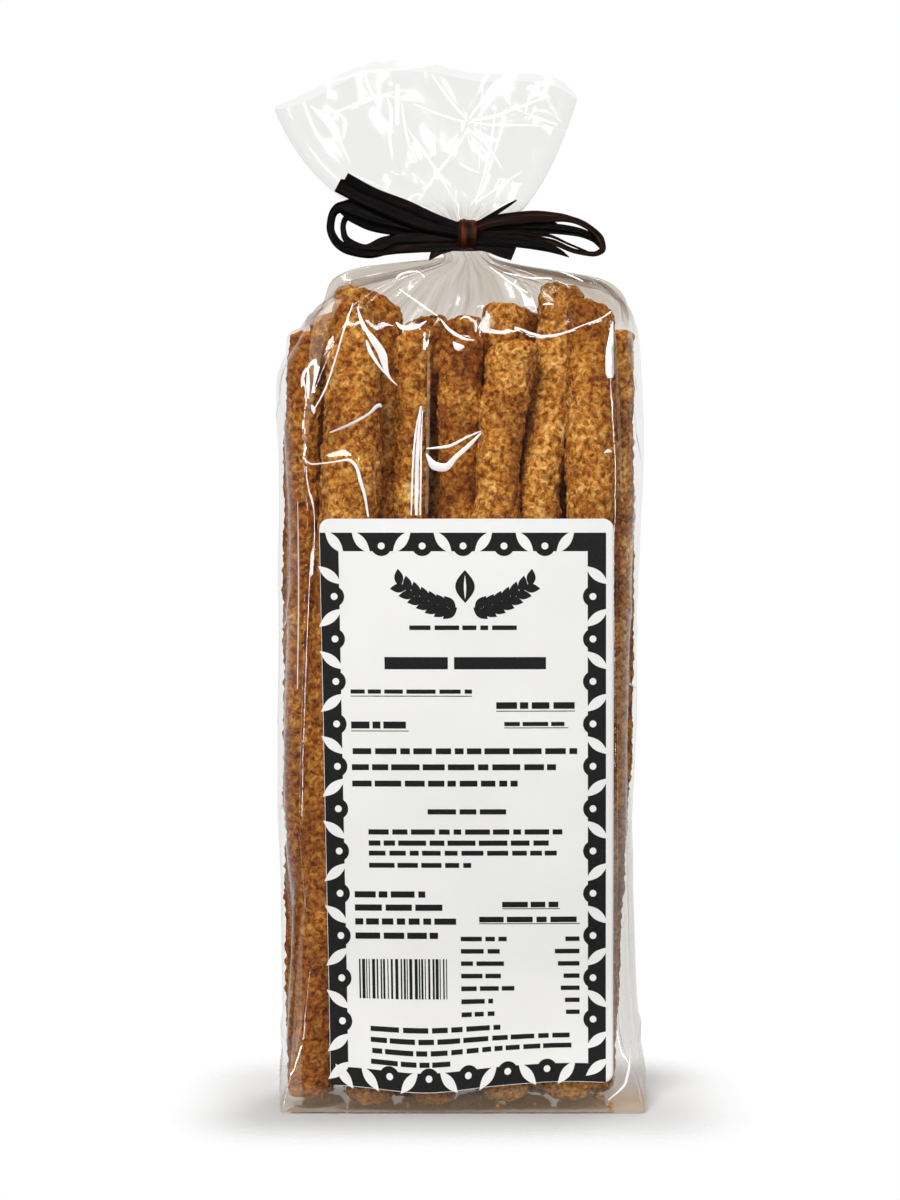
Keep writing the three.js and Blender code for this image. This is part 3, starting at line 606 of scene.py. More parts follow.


# White strips that paint the highlights where folds catch the lights, as (along the face, height, width),
# on the body's faces. Along the front and the back is x, and along the sides is y.
FILM_PAINTED_HIGHLIGHTS = {
    "front": [
        # The tent that hangs from the tall stick at the left, with its broad streak.
        [(-31.3, 232.6, 0.2), (-33.9, 224.8, 0.45), (-36.3, 216.6, 0.5), (-39, 208.5, 0.5),
         (-42, 202.8, 0.3)],
        [(-30.2, 231.7, 0.3), (-27.6, 225.2, 0.9), (-25.2, 221.8, 1.9), (-22.8, 217.8, 2.3),
         (-21.9, 214, 1.4),
         (-20.9, 211.5, 0.7), (-18.6, 209.1, 0.2)],
        [(-27.4, 222, 0.3), (-26.4, 219.2, 1.1), (-24.9, 216.4, 0.9), (-22.9, 213.6, 0.6),
         (-21.2, 211.6, 0.3)],
        [(-29.9, 230.3, 0.3), (-28.8, 227, 0.7), (-28, 224.6, 0.2)],
        [(-44.1, 214, 0.3), (-44.1, 209.6, 1.1), (-44.1, 205.4, 0.5)],
        [(-43.2, 203.6, 0.3), (-42.6, 202.4, 1.3), (-42.4, 201, 0.3)],
        # The slanting streak under it, and the long bent one down to the label.
        [(-38, 195.6, 0.4), (-32.5, 197.8, 0.8), (-26.7, 201, 0.7), (-23.6, 203.4, 1.1), (-23, 203, 0.4)],
        [(-45.6, 188.4, 0.3), (-42.9, 186.6, 0.4), (-37, 187.2, 0.4), (-32.8, 187.8, 0.7),
         (-30.2, 185.6, 0.9),
         (-29, 181.4, 1.0), (-27.8, 177.2, 0.8), (-26.9, 171.6, 0.5)],
        # Upright folds between the left and the middle sticks.
        [(-12, 203.2, 0.2), (-13.4, 195, 0.5), (-14.2, 184, 0.5), (-14.6, 172, 0.4)],
        [(-11.8, 203.2, 0.3), (-12.6, 194, 0.9), (-13, 184, 1.1), (-13.1, 172, 0.8)],
        [(-11.4, 202, 0.2), (-11.8, 192, 0.5), (-12, 172, 0.5)],
        # Where the film sags over the middle sticks.
        [(-6.1, 228, 0.3), (-4.1, 225.4, 0.8), (-1.7, 223.6, 0.9), (0.6, 222.4, 0.7), (3.4, 222, 0.3)],
        [(-2.6, 221.6, 0.4), (-1.1, 220, 2.2), (0.6, 220.2, 0.4)],
        [(-0.6, 228.2, 0.2), (1, 229, 0.6), (3, 228, 0.3)],
        [(-10.3, 191, 0.3), (-4.4, 191.6, 0.8), (1.6, 194.4, 0.5), (5.5, 196.1, 0.3)],
        [(-10.3, 189.6, 0.3), (-7.7, 186, 2.4), (-5.2, 185.6, 2.2), (-1.8, 188.6, 1.3), (1.8, 191.8, 1.1),
         (5.5, 195.6, 0.4)],
        [(-19, 227.2, 0.3), (-16.8, 225.6, 1.5), (-13.6, 225.8, 1.2), (-10.2, 227.6, 0.3)],
        # The long sag from the middle to the top right corner, and the patch under its end.
        [(15, 225.6, 0.9), (16.9, 225.2, 0.5), (19.2, 224.2, 0.7), (23.6, 223.2, 0.6), (28.4, 224, 0.4),
         (34.2, 226.2, 0.3), (39.4, 228.2, 0.35), (42.8, 230.4, 0.4)],
        [(43.2, 227.6, 0.2), (42.6, 222.6, 1.4), (42.2, 217.4, 2.4), (42.2, 213, 2.5), (42.4, 211.2, 1.6)],
        [(23.2, 232.6, 0.3), (24.8, 232.9, 0.6), (26.4, 232.7, 0.3)],
        [(40.6, 189.8, 0.3), (41.8, 190.4, 1.0), (42.8, 190.2, 0.3)],
        # The shoulder, gathered towards the tie.
        [(-20, 238.4, 0.3), (-17.5, 241.6, 0.7), (-13, 242.4, 0.6), (-10.8, 240.5, 0.3)],
        [(-18, 237, 0.3), (-12.5, 233, 0.6), (-7, 229, 0.3)], [(8, 244, 0.3), (14, 239, 0.5), (19, 236, 0.3)],
        [(12, 242, 0.3), (20, 240.6, 0.5), (26, 240.4, 0.3)],
        [(26.5, 243.6, 0.3), (31, 241.6, 0.6), (35, 239.6, 0.3)],
        # Down beside the label and at the foot.
        [(-47.2, 176, 0.2), (-47, 150, 0.4), (-47.3, 122, 0.3)],
        [(42, 4, 0.3), (47, 9, 0.7), (49, 20, 0.3)],
    ],
    "back": [
        [(28, 230, 0.3), (33, 218, 0.9), (39, 204, 0.3)], [(-32, 228, 0.3), (-38, 212, 1.4), (-43, 198, 0.3)],
        [(-6, 227, 0.3), (2, 221.6, 0.8), (12, 224, 0.3)],
        [(-44, 178, 0.3), (-34, 170, 0.8), (-20, 170, 0.3)],
        [(22, 150, 0.3), (32, 144, 1.1), (41, 142, 0.3)], [(-40, 95, 0.3), (-30, 87, 0.7), (-22, 84, 0.3)],
        [(10, 71, 0.3), (24, 79, 0.9), (33, 81, 0.3)], [(-15, 186, 0.3), (-15.6, 150, 0.7), (-16, 114, 0.3)],
    ],
    "left": [
        [(-12, 212, 0.3), (-6, 204, 0.8), (-2, 200, 0.3)], [(-14, 148, 0.3), (-9, 142, 0.7), (-5, 139, 0.3)],
        [(14, 95, 0.3), (9, 88, 0.8), (4, 85, 0.3)], [(-20, 4, 0.3), (-10, 13, 0.6), (-1, 22, 0.3)],
    ],
    "right": [
        [(11, 205, 0.3), (7, 196, 0.8), (3, 187, 0.3)], [(-15, 132, 0.3), (-10, 124, 0.7), (-5, 121, 0.3)],
        [(20, 4, 0.3), (10, 13, 0.6), (1, 22, 0.3)], [(-10, 80, 0.3), (-12, 60, 0.8), (-11, 40, 0.3)],
    ],
}
# On the frill, fainter painted highlights: the crinkled star with its rays, the lit facets and the fold that
# follows the rim.
FRILL_PAINTED_HIGHLIGHTS = {
    "front": [
        [(2.6, 286.5, 0.4), (8, 287, 0.9), (16, 289.5, 0.6), (23, 292, 0.3)],
        [(2.6, 286, 0.3), (10, 284.6, 0.7), (20, 284.4, 0.5), (30.5, 284.2, 0.3)],
        [(2.2, 287, 0.3), (5, 291, 0.6), (9.6, 297.5, 0.3)],
        [(1.6, 286.5, 0.3), (-4, 293, 0.8), (-9, 300, 0.3)],
        [(2, 284.5, 0.3), (-2, 278, 0.7), (-8, 270, 0.5), (-12.6, 263.6, 0.3)],
        [(3.4, 284.5, 0.3), (8, 278, 0.6), (11.6, 272.4, 0.3)],
        [(1, 286, 0.3), (-6, 288, 0.6), (-14, 291, 0.3)],
        [(-44, 290.6, 0.3), (-40.5, 287.5, 1.7), (-37, 283.5, 2.3), (-35, 279, 1.4), (-32.2, 273.6, 0.3)],
        [(-35.4, 288, 0.3), (-33.8, 285.6, 1.1), (-34.4, 281, 0.4)],
        [(-22, 293.4, 0.3), (-20.4, 288, 1.0), (-21, 281.6, 0.8), (-20.2, 275, 0.3)],
        [(-17.6, 292, 0.2), (-16.6, 285, 0.6), (-15, 277.5, 0.3)],
        [(-43, 295.4, 0.3), (-40.6, 296.4, 0.5), (-35, 297.4, 0.4), (-27, 300, 0.5), (-19, 301, 0.3)],
        [(20.4, 294.6, 0.3), (24.6, 292.6, 1.6), (26.4, 289, 1.0), (29, 286.2, 0.3)],
        [(20, 289, 0.3), (24, 288.6, 0.9), (28.6, 286.6, 0.3)],
        [(-32.4, 270.8, 0.3), (-26, 268.4, 0.5), (-20, 266, 0.3)],
        [(5, 263.4, 0.3), (11, 267.4, 0.7), (17.4, 271.6, 0.3)],
        [(2.4, 262, 0.3), (6, 266.6, 0.5), (8, 272, 0.3)],
    ],
    "back": [
        [(-2, 264, 0.3), (-8, 274, 0.8), (-16, 286, 0.3)], [(4, 264, 0.3), (8, 278, 0.7), (10, 292, 0.3)],
        [(-38, 290, 0.3), (-28, 294, 1.2), (-20, 297, 0.3)], [(14, 292, 0.3), (22, 289, 0.9), (28, 287, 0.3)],
    ],
}
# Where the film lies double along the two front corners and in the upright fold.
FILM_LAPS = {
    "front": [
        [(-37, 234.6, 5.2), (-41, 224, 4.4), (-43.2, 208, 2.4), (-44.8, 194, 1.0), (-46, 176, 0.3)],
        [(-44.6, 66, 0.3), (-46.6, 46, 1.4), (-47.4, 24, 2.6), (-48, 4, 4.0)],
        [(43.6, 226, 0.8), (44.6, 205, 1.0), (45.8, 176, 0.6)],
        [(-9.9, 226, 0.4), (-9.6, 212, 0.8), (-9.9, 190, 0.9), (-10.2, 172.5, 0.8)],
    ],
    "back": [
        [(40, 234, 3.6), (44.6, 206, 2.0), (46, 120, 1.6), (45.6, 12, 2.4)],
        [(-37, 234, 3.0), (-44.8, 206, 2.0), (-46.4, 120, 1.6), (-46, 12, 2.4)],
    ],
}
# Which way a level line runs in to meet each face, and the way along that face.
FACE_WAYS = {
    "front": ((0, 1, 0), (1, 0, 0)), "back": ((0, -1, 0), (1, 0, 0)),
    "left": ((1, 0, 0), (0, 1, 0)), "right": ((-1, 0, 0), (0, 1, 0)),
}
# The strips' steps along and across, and how far they lie off the film.
STRIP_STEP = 0.6
STRIP_ACROSS = 5
STRIP_LIFT = 0.1
# How far outside the film a ray starts, in metres.
RAY_BACK = 0.1
SEAM_GAP = 0.01


# Making and finishing objects.

def deselect():
    if bpy.context.object and bpy.context.object.mode != "OBJECT":
        bpy.ops.object.mode_set(mode="OBJECT")
    bpy.ops.object.select_all(action="DESELECT")


def grid_sheet(name, points):
    """A primitive grid whose rows of vertices are moved to points, given in millimetres."""
    rows, columns = points.shape[:2]
    deselect()
    bpy.ops.mesh.primitive_grid_add(x_subdivisions=columns - 1, y_subdivisions=rows - 1, size=1)
    sheet = bpy.context.object
    sheet.name = name
    sheet.data.name = name
    sheet.data.vertices.foreach_set("co", (points.reshape(-1, 3) * MM).ravel())
    sheet.data.update()
    return sheet


def join_seams():
    """Merges the doubles where the sheet just made meets itself."""
    bpy.ops.object.mode_set(mode="EDIT")
    bpy.ops.mesh.select_all(action="SELECT")
    bpy.ops.mesh.remove_doubles(threshold=SEAM_GAP * MM)
    bpy.ops.object.mode_set(mode="OBJECT")


def apply_modifiers(obj):
    bpy.context.view_layer.objects.active = obj
    for modifier in list(obj.modifiers):
        bpy.ops.object.modifier_apply(modifier=modifier.name)


def finish_piece(obj, material, replaces=()):
    deselect()
    obj.select_set(True)
    bpy.context.view_layer.objects.active = obj
    bpy.ops.object.shade_smooth()
    obj.data.materials.clear()
    obj.data.materials.append(material)
    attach(obj, BODY)
    if replaces:
        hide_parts(*replaces)
    return obj


def on_film(tree, into, along, u, z, lift):
    """The point of the film's outside at (u, z) of a face, lift millimetres proud of it."""
    start = (along * u + Vector((0, 0, z))) * MM - into * RAY_BACK
    spot, normal = tree.ray_cast(start, into)[:2]
    if spot is None:
        # Past the outline, where the strip wraps round the edge.
        spot, normal = tree.find_nearest(start + into * RAY_BACK)[:2]
    proud = -normal if normal.dot(into) > 0 else normal
    return spot / MM + proud * lift


def film_strip(tree, face, stations, ridge):
    """A narrow strip laid on the film along a fold, raised by ridge times its width in its middle."""
    into, along = (Vector(way) for way in FACE_WAYS[face])
    knots = np.array(stations, float)
    chord = np.concatenate([[0], np.cumsum(np.hypot(*np.diff(knots[:, :2], axis=0).T))])
    at = np.linspace(0, chord[-1], max(int(chord[-1] / STRIP_STEP), 6))
    u, z, wide = (through(list(zip(chord, knots[:, k])))(at) for k in range(3))
    du, dz = np.gradient(u), np.gradient(z)
    run = np.maximum(np.hypot(du, dz), 1e-9)
    outside = -1 if into.dot(along.cross(Vector((0, 0, 1)))) > 0 else 1
    points = np.empty((len(at), STRIP_ACROSS, 3))
    for i in range(len(at)):
        for j, share in enumerate(np.linspace(-0.5, 0.5, STRIP_ACROSS)):
            off = share * wide[i] * outside
            lift = STRIP_LIFT + ridge * wide[i] * (1 - 4 * share * share)
            beside = u[i] + off * dz[i] / run[i]
            height = z[i] - off * du[i] / run[i]
            points[i, j] = on_film(tree, into, along, beside, height, lift)
    return points


def lay_strips(name, film, strips_by_face, material, ridge):
    """Lays strips on a film and joins them. Their middles stand up by ridge times their width."""
    tree = BVHTree.FromObject(film, bpy.context.evaluated_depsgraph_get())
    strips = [grid_sheet(f"{name}_{face}_{i}", film_strip(tree, face, stations, ridge))
              for face, runs in strips_by_face.items() for i, stations in enumerate(runs)]
    return finish_piece(joined(name, strips), material)


def joined(name, pieces):
    deselect()
    for piece in pieces:
        piece.select_set(True)
    bpy.context.view_layer.objects.active = pieces[0]
    bpy.ops.object.join()
    whole = bpy.context.object
    whole.name = name
    whole.data.name = name
    return whole


# Materials.

EASED = {"interpolation_type": "SMOOTHSTEP"}
BLEND_COLOUR = {"data_type": "RGBA"}
WHITE = (1, 1, 1, 1)


def linear(colour):
    """An sRGB hex colour as linear red, green, blue and alpha."""
    values = [int(colour[i:i + 2], 16) / 255 for i in (1, 3, 5)]
    return [v / 12.92 if v <= 0.04045 else ((v + 0.055) / 1.055) ** 2.4 for v in values] + [1.0]


def add_node(tree, kind, settings=None, **inputs):
    """A shader node with its settings. An input is a value, a socket or a node, for its first output."""
    node = tree.nodes.new("ShaderNode" + kind)
    for name, value in (settings or {}).items():
        setattr(node, name, value)
    for name, value in inputs.items():
        socket = node.inputs[int(name[1:])] if name[1:].isdigit() else node.inputs[name.replace("_", " ")]
        if isinstance(value, bpy.types.Node):
            value = value.outputs[0]
        if isinstance(value, bpy.types.NodeSocket):
            tree.links.new(value, socket)
        else:
            socket.default_value = value
    return node


def new_material(name):
    material = bpy.data.materials.new(name)
    material.use_nodes = True
    material.node_tree.nodes.clear()
    return material, material.node_tree


def set_ramp(node, stops):
    ramp = node.color_ramp
    while len(ramp.elements) < len(stops):
        ramp.elements.new(0.5)
    for element, (place, colour) in zip(ramp.elements, stops):
        element.position = place
        element.color = linear(colour)
    return node.outputs["Color"]


def crust_material():
    """Baked wholemeal dough: matt, golden and darker brown in a random mottle, flecked with bran."""
    material, tree = new_material("baked_wholemeal_crust")
    place = add_node(tree, "TexCoord").outputs["Object"]
    # Patches a centimetre or two long where the oven coloured it more.
    toast = add_node(tree, "TexNoise", Vector=place, Scale=75.0, Detail=3.0, Roughness=0.55)
    # Flaky crumb a millimetre or two across, drawn out by the rolling.
    crumb = add_node(tree, "TexNoise", Vector=place, Scale=600.0, Detail=5.0, Roughness=0.64,
                     Distortion=0.6)
    # Bran flecks, drawn a little coarser than the real ones.
    bran = add_node(tree, "TexVoronoi", {"feature": "F1"}, Vector=place, Scale=820.0)
    fleck = add_node(tree, "SeparateColor", Color=bran.outputs["Color"])

    base = set_ramp(add_node(tree, "ValToRGB", Fac=crumb), [
        (0.33, "#74400f"), (0.43, "#b97529"), (0.51, "#e2a44e"), (0.59, "#f9ca7b"), (0.67, "#ffe9b8"),
    ])
    # Each stick's shift of tone: its own bake, and on middle_high painted light for the shade it stands in.
    bake_and_painted_light_attribute = add_node(tree, "Attribute", {"attribute_name": BAKE_AND_PAINTED_LIGHT_NAME})
    toast_and_painted_light = add_node(tree, "Math", {"operation": "ADD"}, _0=toast, _1=bake_and_painted_light_attribute.outputs["Fac"])
    toast_and_painted_light_colour = set_ramp(add_node(tree, "ValToRGB", Fac=toast_and_painted_light), [
        (0.34, "#bb945a"), (0.5, "#e4c892"), (0.66, "#fff4dc"),
    ])
    colour = add_node(tree, "Mix", {"data_type": "RGBA", "blend_type": "MULTIPLY"}, _0=1.0, _6=base,
                      _7=toast_and_painted_light_colour)
    is_bran = add_node(tree, "MapRange", Value=fleck.outputs["Red"], From_Min=0.87, From_Max=0.96,
                       To_Min=0.0, To_Max=0.55)
    flecked = add_node(tree, "Mix", BLEND_COLOUR, _0=is_bran, _6=colour.outputs[2], _7=linear("#4a2207"))

    grit = add_node(tree, "TexNoise", Vector=place, Scale=900.0, Detail=4.0, Roughness=0.65)
    bump = add_node(tree, "Bump", Height=grit, Strength=1.0, Distance=0.0009)
    shader = add_node(tree, "BsdfPrincipled", Base_Color=flecked.outputs[2], Roughness=0.75,
                      Normal=bump, IOR=1.3)
    add_node(tree, "OutputMaterial", Surface=shader)
    return material


# Zones of the film, in metres: the tint of the gathers, the layers that lie double there, their blur, the
# crumb dust at the foot and the milky gusset at the lower right.
TINT_Z = (0.2, 0.3)
LAYERS_START_Z = (0.222, 0.232)
LAYERS_END_Z = (0.255, 0.266)
LAYER_SCALE = (64.0, 9.0, 1.0)
BLUR_START_Z = (0.221, 0.234)
GATHER_ROUGHNESS = 0.17
DUST_Z = (0.009, 0.0035)
DUST_SHARE = 0.15
MILKY_X = (0.0418, 0.0438)
MILKY_Z = (0.104, 0.07)
MILKY_SHARE = 0.18
# Of a strip's light, how much comes through from behind and how much is gloss.
STRIP_BACK_SHARE = 0.15
STRIP_GLOSS_SHARE = 0.12


def film_material(name, roughness, ripple_depth, mirror_share, haze_share, edge_power):
    """Drawn polypropylene film: so thin that light goes straight through it, unbent, and both of its
    faces mirror alike, faintly head-on and strongly towards the outline.
    """
    material, tree = new_material(name)
    place = add_node(tree, "TexCoord").outputs["Object"]
    ripple = add_node(tree, "TexNoise", Vector=place, Scale=150.0, Detail=1.0, Roughness=0.5)
    bump = add_node(tree, "Bump", Height=ripple, Strength=ripple_depth, Distance=0.0004)
    facing = add_node(tree, "LayerWeight", Blend=0.5, Normal=bump)
    steep = add_node(tree, "Math", {"operation": "POWER"}, _0=facing.outputs["Facing"], _1=edge_power)
    gloss = add_node(tree, "Math", {"operation": "MULTIPLY_ADD", "use_clamp": True}, _0=steep,
                     _1=1 - mirror_share, _2=mirror_share)
    parts = add_node(tree, "SeparateXYZ", Vector=place)
    x, z = parts.outputs["X"], parts.outputs["Z"]
    # Gathered under the tie, so several layers absorb and blur there.
    gathers = add_node(tree, "MapRange", Value=z, From_Min=TINT_Z[0], From_Max=TINT_Z[1])
    tint = set_ramp(add_node(tree, "ValToRGB", Fac=gathers), [
        (0.22, "#fbfbfa"), (0.33, "#eeeae6"), (0.46, "#ebe7e2"), (0.57, "#f5f4f2"), (0.64, "#fbfbfa"),
    ])
    # The grid's own UV map runs round the bag and up it, so this noise is drawn out along the pleats.
    uv = add_node(tree, "TexCoord").outputs["UV"]
    layers = add_node(tree, "Mapping", Vector=uv, Scale=LAYER_SCALE)
    uneven = add_node(tree, "TexNoise", Vector=layers, Scale=1.0, Detail=4.0, Roughness=0.6)
    laid_double = add_node(tree, "MapRange", EASED, Value=uneven, From_Min=0.4, From_Max=0.68)
    near_tie = add_node(tree, "MapRange", EASED, Value=z, From_Min=LAYERS_START_Z[0],
                        From_Max=LAYERS_START_Z[1])
    above_tie = add_node(tree, "MapRange", EASED, Value=z, From_Min=LAYERS_END_Z[0],
                         From_Max=LAYERS_END_Z[1], To_Min=1.0, To_Max=0.0)
    in_gathers = add_node(tree, "Math", {"operation": "MULTIPLY"}, _0=near_tie, _1=above_tie)
    smoky = add_node(tree, "Math", {"operation": "MULTIPLY"}, _0=laid_double, _1=in_gathers)
    tint = add_node(tree, "Mix", BLEND_COLOUR, _0=smoky, _6=tint, _7=linear("#dbd4cb")).outputs[2]
    blur = add_node(tree, "MapRange", EASED, Value=z, From_Min=BLUR_START_Z[0], From_Max=BLUR_START_Z[1],
                    To_Min=roughness, To_Max=max(roughness, GATHER_ROUGHNESS))
    # Folded over itself in the lower right gusset, so milkier there, and dusted with crumb at the foot.
    foot = add_node(tree, "MapRange", EASED, Value=z, From_Min=DUST_Z[0], From_Max=DUST_Z[1])
    gusset = add_node(tree, "MapRange", EASED, Value=x, From_Min=MILKY_X[0], From_Max=MILKY_X[1],
                      To_Min=haze_share, To_Max=MILKY_SHARE)
    lower = add_node(tree, "MapRange", EASED, Value=z, From_Min=MILKY_Z[0], From_Max=MILKY_Z[1])
    dusty = add_node(tree, "Math", {"operation": "MULTIPLY"}, _0=foot, _1=DUST_SHARE)
    flap = add_node(tree, "Math", {"operation": "MULTIPLY_ADD"}, _0=gusset, _1=lower, _2=dusty)
    dust = add_node(tree, "Mix", BLEND_COLOUR, _0=foot, _6=linear("#efe9e0"), _7=linear("#c9a67c")).outputs[2]
    clear = add_node(tree, "BsdfTransparent", Color=tint)
    haze = add_node(tree, "BsdfDiffuse", Color=dust, Normal=bump)
    mirror = add_node(tree, "BsdfAnisotropic", Color=WHITE, Roughness=blur, Normal=bump)
    milky = add_node(tree, "MixShader", Fac=flap, _1=clear, _2=haze)
    surface = add_node(tree, "MixShader", Fac=gloss, _1=milky, _2=mirror)
    add_node(tree, "OutputMaterial", Surface=surface)
    return material


def film_strip_material(name, colour, clearness, roughness):
    """Film strips that add their own light on top of what shows through them: the white ones are painted
    highlights where folds catch the lights, and a tinted one is film lying double.
    """
    material, tree = new_material(name)
    clear = add_node(tree, "BsdfTransparent", Color=(clearness, clearness, clearness, 1))
    front_lit = add_node(tree, "BsdfDiffuse", Color=linear(colour))
    back_lit = add_node(tree, "BsdfTranslucent", Color=linear(colour))
    white = add_node(tree, "MixShader", Fac=STRIP_BACK_SHARE, _1=front_lit, _2=back_lit)
    shine = add_node(tree, "BsdfAnisotropic", Color=WHITE, Roughness=roughness)
    lit = add_node(tree, "MixShader", Fac=STRIP_GLOSS_SHARE, _1=white, _2=shine)
    surface = add_node(tree, "AddShader", _0=lit, _1=clear)
    add_node(tree, "OutputMaterial", Surface=surface)
    return material


def paper_material():
    """Coated label paper: nearly white, satin, with a very fine felt."""
    material, tree = new_material("coated_label_paper")
    place = add_node(tree, "TexCoord").outputs["Object"]
    felt = add_node(tree, "TexNoise", Vector=place, Scale=900.0, Detail=2.0)
    bump = add_node(tree, "Bump", Height=felt, Strength=0.08, Distance=0.0002)
    tone = add_node(tree, "TexNoise", Vector=place, Scale=30.0, Detail=2.0)
    colour = set_ramp(add_node(tree, "ValToRGB", Fac=tone), [(0.35, "#e9e8e5"), (0.65, "#eeedea")])
    shader = add_node(tree, "BsdfPrincipled", Base_Color=colour, Roughness=0.55, IOR=1.5, Normal=bump)
    add_node(tree, "OutputMaterial", Surface=shader)
    return material


def ink_material():
    """Black toner on the label: satin like the paper, with an uneven black drawn a little coarse."""
    material, tree = new_material("black_toner_print")
    place = add_node(tree, "TexCoord").outputs["Object"]
    speckle = add_node(tree, "TexNoise", Vector=place, Scale=1400.0, Detail=2.0)
    colour = set_ramp(add_node(tree, "ValToRGB", Fac=speckle), [(0.35, "#050505"), (0.7, "#121212")])
    shader = add_node(tree, "BsdfPrincipled", Base_Color=colour, Roughness=0.55, IOR=1.4)
    add_node(tree, "OutputMaterial", Surface=shader)
    return material


def ribbon_material():
    """Dyed paper raffia: nearly black, satin, streaked lengthwise, brown where the dye is thin and with a
    brown painted sheen, strongest on the knot and the right loop's top strand, that stands in for their
    gloss.
    """
    material, tree = new_material("dyed_paper_raffia")
    uv = add_node(tree, "TexCoord").outputs["UV"]
    stretched = add_node(tree, "Mapping", Vector=uv, Scale=(46.0, 2.2, 1.0))
    fibre = add_node(tree, "TexNoise", Vector=stretched, Scale=1.0, Detail=5.0, Roughness=0.6)
    patch = add_node(tree, "TexNoise", Vector=uv, Scale=3.0, Detail=1.0)
    both = add_node(tree, "Math", {"operation": "MULTIPLY"}, _0=fibre, _1=patch)
    # Brown per strand, from thin dye and from a painted sheen that is strongest on the knot and the right
    # loop's top.
    thin_dye_and_painted_sheen = add_node(tree, "Attribute", {"attribute_name": THIN_DYE_AND_PAINTED_SHEEN})
    brown = add_node(tree, "Math", {"operation": "MULTIPLY_ADD"}, _0=thin_dye_and_painted_sheen.outputs["Fac"], _1=0.2,
                     _2=both)
    colour = set_ramp(add_node(tree, "ValToRGB", Fac=brown),
                      [(0.22, "#020101"), (0.36, "#090403"), (0.46, "#2f1408"), (0.58, "#6a3013")])
    bump = add_node(tree, "Bump", Height=fibre, Strength=0.5, Distance=0.0004)
    shader = add_node(tree, "BsdfPrincipled", Base_Color=colour, Roughness=0.34, IOR=1.18, Normal=bump)
    add_node(tree, "OutputMaterial", Surface=shader)
    return material


# Sticks.

def stick_rings(stations, slant):
    """The rings of one stick from pole to pole, in millimetres."""
    foot, top = stations[0][2], stations[-1][2]
    low_cap, high_cap = stations[0][3] * CAP_SHARE, stations[-1][3] * CAP_SHARE
    rise = 1 - np.cos(np.linspace(0, math.pi / 2, CAP_RINGS, endpoint=False))
    z = np.concatenate([foot + low_cap * rise, np.linspace(foot + low_cap, top - high_cap, STICK_ALONG),
                        top - high_cap * rise[::-1]])[:, None]
    x, y, radius = stick_section(stations, z)
    around = np.linspace(0, 2 * math.pi, STICK_AROUND + 1)
    across = radius * np.cos(around)
    lean = slant * across * smooth(z, top - SLANT_LENGTH, top)
    return np.stack([x + across, y + radius * np.sin(around), z + lean], axis=-1)


def crust_textures():
    textures = []
    for i, (kind, edge, size, depth) in enumerate(CRUST_RELIEF):
        texture = bpy.data.textures.new(f"crust_relief_{i}", kind)
        texture.noise_scale = size * MM
        if edge:
            texture.noise_type = edge
        textures.append((texture, depth))
    return textures


def make_stick(name, stations, slant, material, textures):
    stick = grid_sheet("breadstick_" + name, stick_rings(stations, slant))
    join_seams()
    for texture, depth in textures:
        push = stick.modifiers.new(texture.name, "DISPLACE")
        push.texture = texture
        push.texture_coords = "LOCAL"
        push.strength = depth * MM
        push.mid_level = 0.5
    apply_modifiers(stick)
    # Each stick's shift of tone, with the painted light that lifts middle_high.
    height = np.array([v.co.z for v in stick.data.vertices]) / (stations[-1][2] * MM)
    bake_and_painted_light_attribute = stick.data.attributes.new(BAKE_AND_PAINTED_LIGHT_NAME, "FLOAT", "POINT")
    bake_and_painted_light_attribute.data.foreach_set("value", mix(*BAKE_AND_PAINTED_LIGHT.get(name, (0.0, 0.0)), height))
    return finish_piece(stick, material)


# The label and its print.

# The label's foot sags and bulges: how far, about which x, and half how wide.
LABEL_SAG = [(2.3, -13, 17), (-0.9, 30, 16)]
LABEL_BULGE = (0.8, -10, 22)
LABEL_STAND_OFF = 0.35
LABEL_FOOT_LIFT = 0.25
LABEL_FOOT_HEIGHT = 34
LABEL_DRAW_IN = 3.4
LABEL_COLUMNS = 85
LABEL_ROWS = 165
LABEL_CORNER = 3.2
LABEL_THICKNESS = 0.14


def label_place(x, z, lift):
    """A point of the label, lift millimetres proud of the paper."""
    low = 1 - smooth(z, LABEL_BOTTOM_Z, LABEL_BOTTOM_Z + LABEL_FOOT_HEIGHT)
    sag = sum(deep * np.exp(-((x - middle) / half) ** 2) for deep, middle, half in LABEL_SAG)
    bulge, middle, half = LABEL_BULGE
    off = LABEL_STAND_OFF + bulge * low * np.exp(-((x - middle) / half) ** 2) + LABEL_FOOT_LIFT * low
    y = front_plain(x, z) - off - lift
    # Its left edge draws in towards the foot, where the bag narrows round the corner stick.
    from_right = (LABEL_X + LABEL_WIDTH / 2 - x) / LABEL_WIDTH
    x = x + LABEL_DRAW_IN * from_right * (1 - np.clip(z / LABEL_TOP_Z, 0, 1))
    return np.stack([x, y, z - sag * low], axis=-1)


